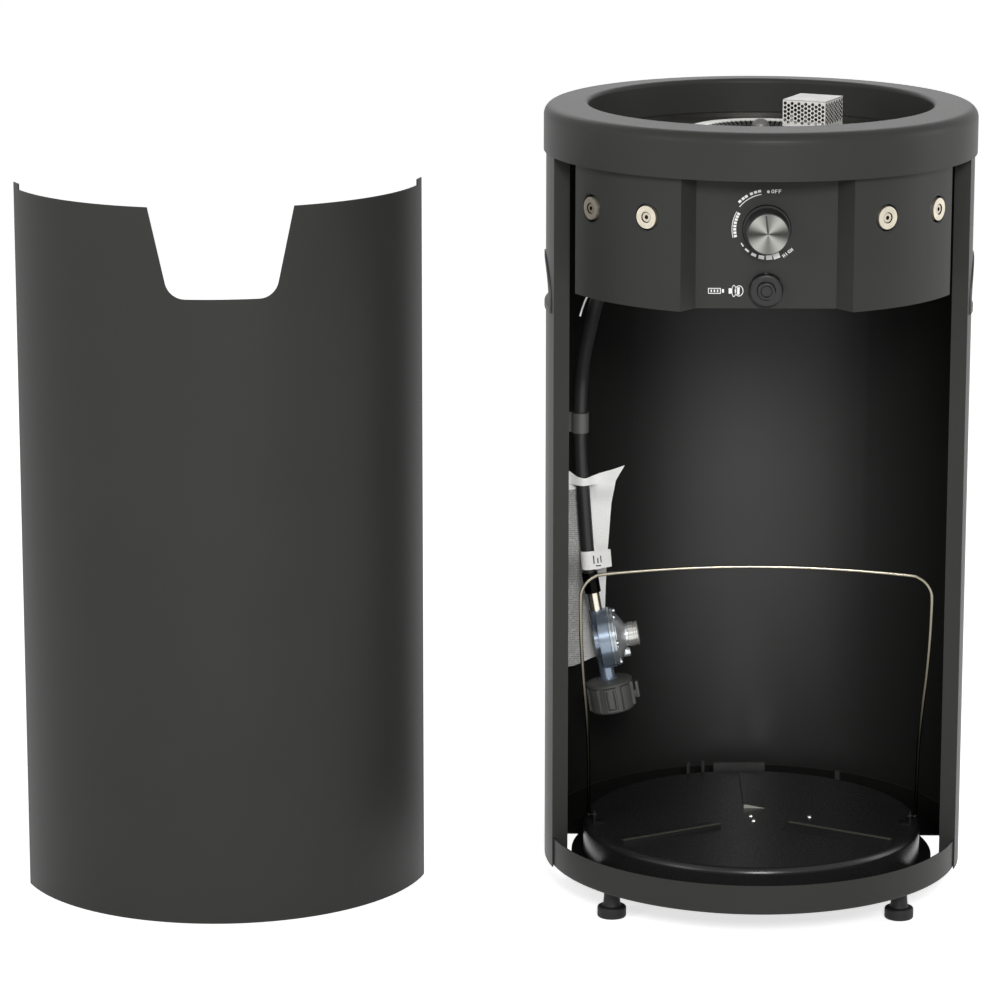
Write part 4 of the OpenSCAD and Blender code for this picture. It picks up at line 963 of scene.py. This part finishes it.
def rounded_block(name, low, high, place, bevel):
    """A block with rounded edges between two corners, in millimetres in a place."""
    work = bmesh.new()
    corners = [work.verts.new(q) for q in product(*zip(low, high))]
    for face in ((0, 1, 3, 2), (4, 6, 7, 5), (0, 4, 5, 1), (2, 3, 7, 6), (0, 2, 6, 4), (1, 5, 7, 3)):
        work.faces.new([corners[i] for i in face])
    bmesh.ops.recalc_face_normals(work, faces=work.faces)
    bmesh.ops.bevel(work, geom=work.edges[:], offset=bevel, segments=3, profile=0.5, affect="EDGES")
    work.transform(place)
    for face in work.faces:
        face.smooth = True
    return mesh_object(name, work)


lug = rounded_block("nut_lug", (24, -4, -7.7), (27.5, 4, 8.5), hang_place, 1.2)
fit(nut_black, lug, "coupling_nut")
lug_web = rounded_block("nut_lug_web", (21.5, -3.4, -7.2), (25, 3.4, 0), hang_place, 0.8)
fit(nut_black, lug_web, "coupling_nut")


# Paper tag. White leaflet with unreadable grey lines, slit near its top and threaded on the hose:
# the strip above the slit passes in front of the hose, and the rest hangs behind it and is pushed
# back lower down.
tag_left = -176.0
tag_slit = 378.3
tag_low = 190.0
tag_right_edge = [(190, -141.2), (209, -141), (260, -140), (301, -139), (358, -135), (382, -131),
                  (398, -122.6)]
tag_top_edge = [(0, 391.5), (0.16, 387), (0.34, 385.4), (0.55, 388), (0.8, 392.6), (1, 398)]
tag_y = 40.5
tag_back_y = 48.5
tag_push = 23.5
front_bulge = 8.2
back_bulge = 7.4
top_flare = 5
tag_columns = 34
tag_rows_low = 44
tag_rows_high = 6


def between(pairs, z):
    """Value at z on straight lines through (z, value) pairs."""
    for (z0, a), (z1, b) in zip(pairs, pairs[1:]):
        if z <= z1:
            return a + (b - a) * (z - z0) / (z1 - z0)
    return pairs[-1][1]


def ease(t):
    """0 to 1 with a soft start and end."""
    t = min(1, max(0, t))
    return t * t * (3 - 2 * t)


def tag_point(u, z, above):
    """A point of the leaflet: u runs from its left to its right edge."""
    x = tag_left + u * (between(tag_right_edge, z) - tag_left)
    near = ease(1 - abs(x - (hose_x + 3)) / 15)
    if above:
        flare = ease((u - 0.6) / 0.4) * ease((z - tag_slit) / 20)
        return Vector((x, tag_y - front_bulge * near - top_flare * flare, z))
    wave = 1.2 * math.sin(u * 4 + z / 30) * ease((350 - z) / 60)
    back = tag_back_y + tag_push * ease((315 - z) / 50) + wave
    hang = ease((tag_slit - z) / 22)
    return Vector((x, (tag_y + back_bulge * near) * (1 - hang) + back * hang, z))


tag_points, tag_faces = [], []
tag_grid = {}
for j in range(tag_rows_low + tag_rows_high + 1):
    for i in range(tag_columns + 1):
        u = i / tag_columns
        if j <= tag_rows_low:
            low = tag_low + 12 * ease(u)
            z = low + (tag_slit - low) * j / tag_rows_low
        else:
            top = between(tag_top_edge, u)
            z = tag_slit + (top - tag_slit) * (j - tag_rows_low) / tag_rows_high
        for above in (False, True) if j == tag_rows_low else (j > tag_rows_low,):
            q = tag_point(u, z, above)
            twin = tag_grid.get((i, j, False))
            if above and twin is not None and (q - tag_points[twin] * 1000).length < 0.05:
                tag_grid[i, j, above] = twin
                continue
            tag_grid[i, j, above] = len(tag_points)
            tag_points.append(q / 1000)
for j in range(tag_rows_low + tag_rows_high):
    for i in range(tag_columns):
        low, high = j >= tag_rows_low, j + 1 > tag_rows_low
        tag_faces.append((tag_grid[i, j, low], tag_grid[i + 1, j, low],
                          tag_grid[i + 1, j + 1, high], tag_grid[i, j + 1, high]))
tag = mesh_piece("leaflet", tag_points, tag_faces, 80)
printed_paper = surface("printed_paper", (255, 254, 251), 0.8, shift=0.02, grain=500, bump=0.05)
print_tree = printed_paper.node_tree
line_pitch = 0.0019
line_share = 0.5
line_shift = 5.3
word_pitch = 640.0
word_gap = 0.44
column_left = -0.164
column_right = -0.154
slit_margin = 0.006
take = partial(step_of, print_tree)
print_place = place_parts(print_tree)
line_count = take("DIVIDE", print_place["Z"], line_pitch)
line_here = take("LESS_THAN", take("FRACT", line_count), line_share)
word_spot = node_of(print_tree, "CombineXYZ", {
    "X": take("MULTIPLY", print_place["X"], word_pitch),
    "Y": take("MULTIPLY", take("FLOOR", line_count), line_shift)})
words = node_of(print_tree, "TexNoise", {"Vector": word_spot.outputs["Vector"], "Scale": 1.0})
word_here = take("GREATER_THAN", words.outputs["Fac"], word_gap)
print_side = node_of(print_tree, "MapRange", {"Value": print_place["X"], "From Min": column_left,
                                              "From Max": column_right, "To Min": 1.0, "To Max": 0.0})
below_slit = take("LESS_THAN", print_place["Z"], tag_slit / 1000 - slit_margin)
left_side = take("MULTIPLY", print_side.outputs["Result"], below_slit)
blend_in(printed_paper, take("MULTIPLY", left_side, 0.6), (112, 112, 110))
dark_lines = take("MULTIPLY", left_side, 0.5)
ink_share = take("ADD", dark_lines, take("MULTIPLY", below_slit, 0.06))
ink_here = take("MULTIPLY", line_here, word_here)
blend_in(printed_paper, take("MULTIPLY", ink_here, ink_share), (70, 70, 69))
fit(printed_paper, tag, "column")
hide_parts("paper_tag")


# Hose label. A narrow strip of white paper wrapped round the hose, its two ends stuck together
# as a flag, with a few plain marks.
label_centre = Vector((hose_x + 8.1, hose_y, 305))
label_axis = (hang_mm + 123 * hang_axis - Vector((hose_x + 7, hose_y, 318))).normalized()
label_side = Vector((0, 1, 0)).cross(label_axis).normalized()
label_radius = 7.1
label_half = 9.0
label_flag = [(3.55, -6.15), (8, -6.5), (13, -6.6), (18, -7.0), (22, -7.6)]
label_route = label_flag[:0:-1]
for i in range(37):
    label_route.append(polar(label_radius, -60 - 280 * i / 36))
label_points, label_faces = [], []
for across, deep in label_route:
    slant = 2.0 * max(0, across - 8) / 14
    for height in (-label_half + slant, 0, label_half + 0.5 * slant):
        q = label_centre - label_axis * height - label_side * across + Vector((0, deep, 0))
        label_points.append(q / 1000)
for i in range(len(label_route) - 1):
    for k in range(2):
        a = i * 3 + k
        label_faces.append((a, a + 1, a + 4, a + 3))
label = mesh_piece("hose_label", label_points, label_faces, 80)
tag_paper = surface("tag_paper", (246, 245, 242), 0.8, shift=0.02, grain=500, bump=0.05)
fit(tag_paper, label, "column")
label_bars = ((5.4, 0.5, 1.1, 8), (9.2, -0.5, 1.1, 5), (12.2, 0.8, 1.0, 6.5), (9.4, -5.6, 5, 1.1))
mark_points, mark_faces = [], []
for bar in label_bars:
    first = len(mark_points)
    for lift in (0.15, 0.05):
        for across, height in rectangle(*bar):
            q = label_centre - label_axis * height - label_side * across
            mark_points.append((q + Vector((0, between(label_flag, across) - lift, 0))) / 1000)
    for face in ((0, 1, 2, 3), (4, 5, 6, 7), (0, 1, 5, 4), (1, 2, 6, 5), (2, 3, 7, 6), (3, 0, 4, 7)):
        mark_faces.append([first + i for i in face])
label_marks = mesh_piece("label_marks", mark_points, mark_faces)
ink_black = surface("ink_black", (24, 24, 24), 0.6, bump=0.02)
fit(ink_black, label_marks, "column")


# Cable tie. Moulded white nylon band, pulled tight round the hose behind the panel, with a
# long tail.
tail_diameter = 0.0016
tie_at = Vector((-142, -59, 596))
tie_axis = (Vector((-149, -38, 574)) - Vector((-133, -77, 614))).normalized()
tie_place = (Matrix.Translation(tie_at / 1000) @ tie_axis.to_track_quat("Z", "Y").to_matrix().to_4x4()
             @ Matrix.Scale(0.001, 4))
nylon = surface("nylon", (232, 232, 228), 0.4, shift=0.03, grain=700, bump=0.03)
tie_band = turned("tie_band", [(6.5, -1.3), (7.6, -1.3), (7.8, -1), (7.8, 1), (7.6, 1.3), (6.5, 1.3),
                              (6.5, -1.3)], tie_place, 32)
fit(nylon, tie_band, "column")
tail_points = [(-147, -65, 595), (-152, -58, 588), (-156.5, -50, 580), (-160.4, -45, 572.6),
               (-163.4, -44, 564.5), (-165.8, -45, 556.5)]
tail = round_wire("tie_tail", [q / 1000 for q in smooth_route(tail_points, 5)], tail_diameter)
fit(nylon, tail, "column")
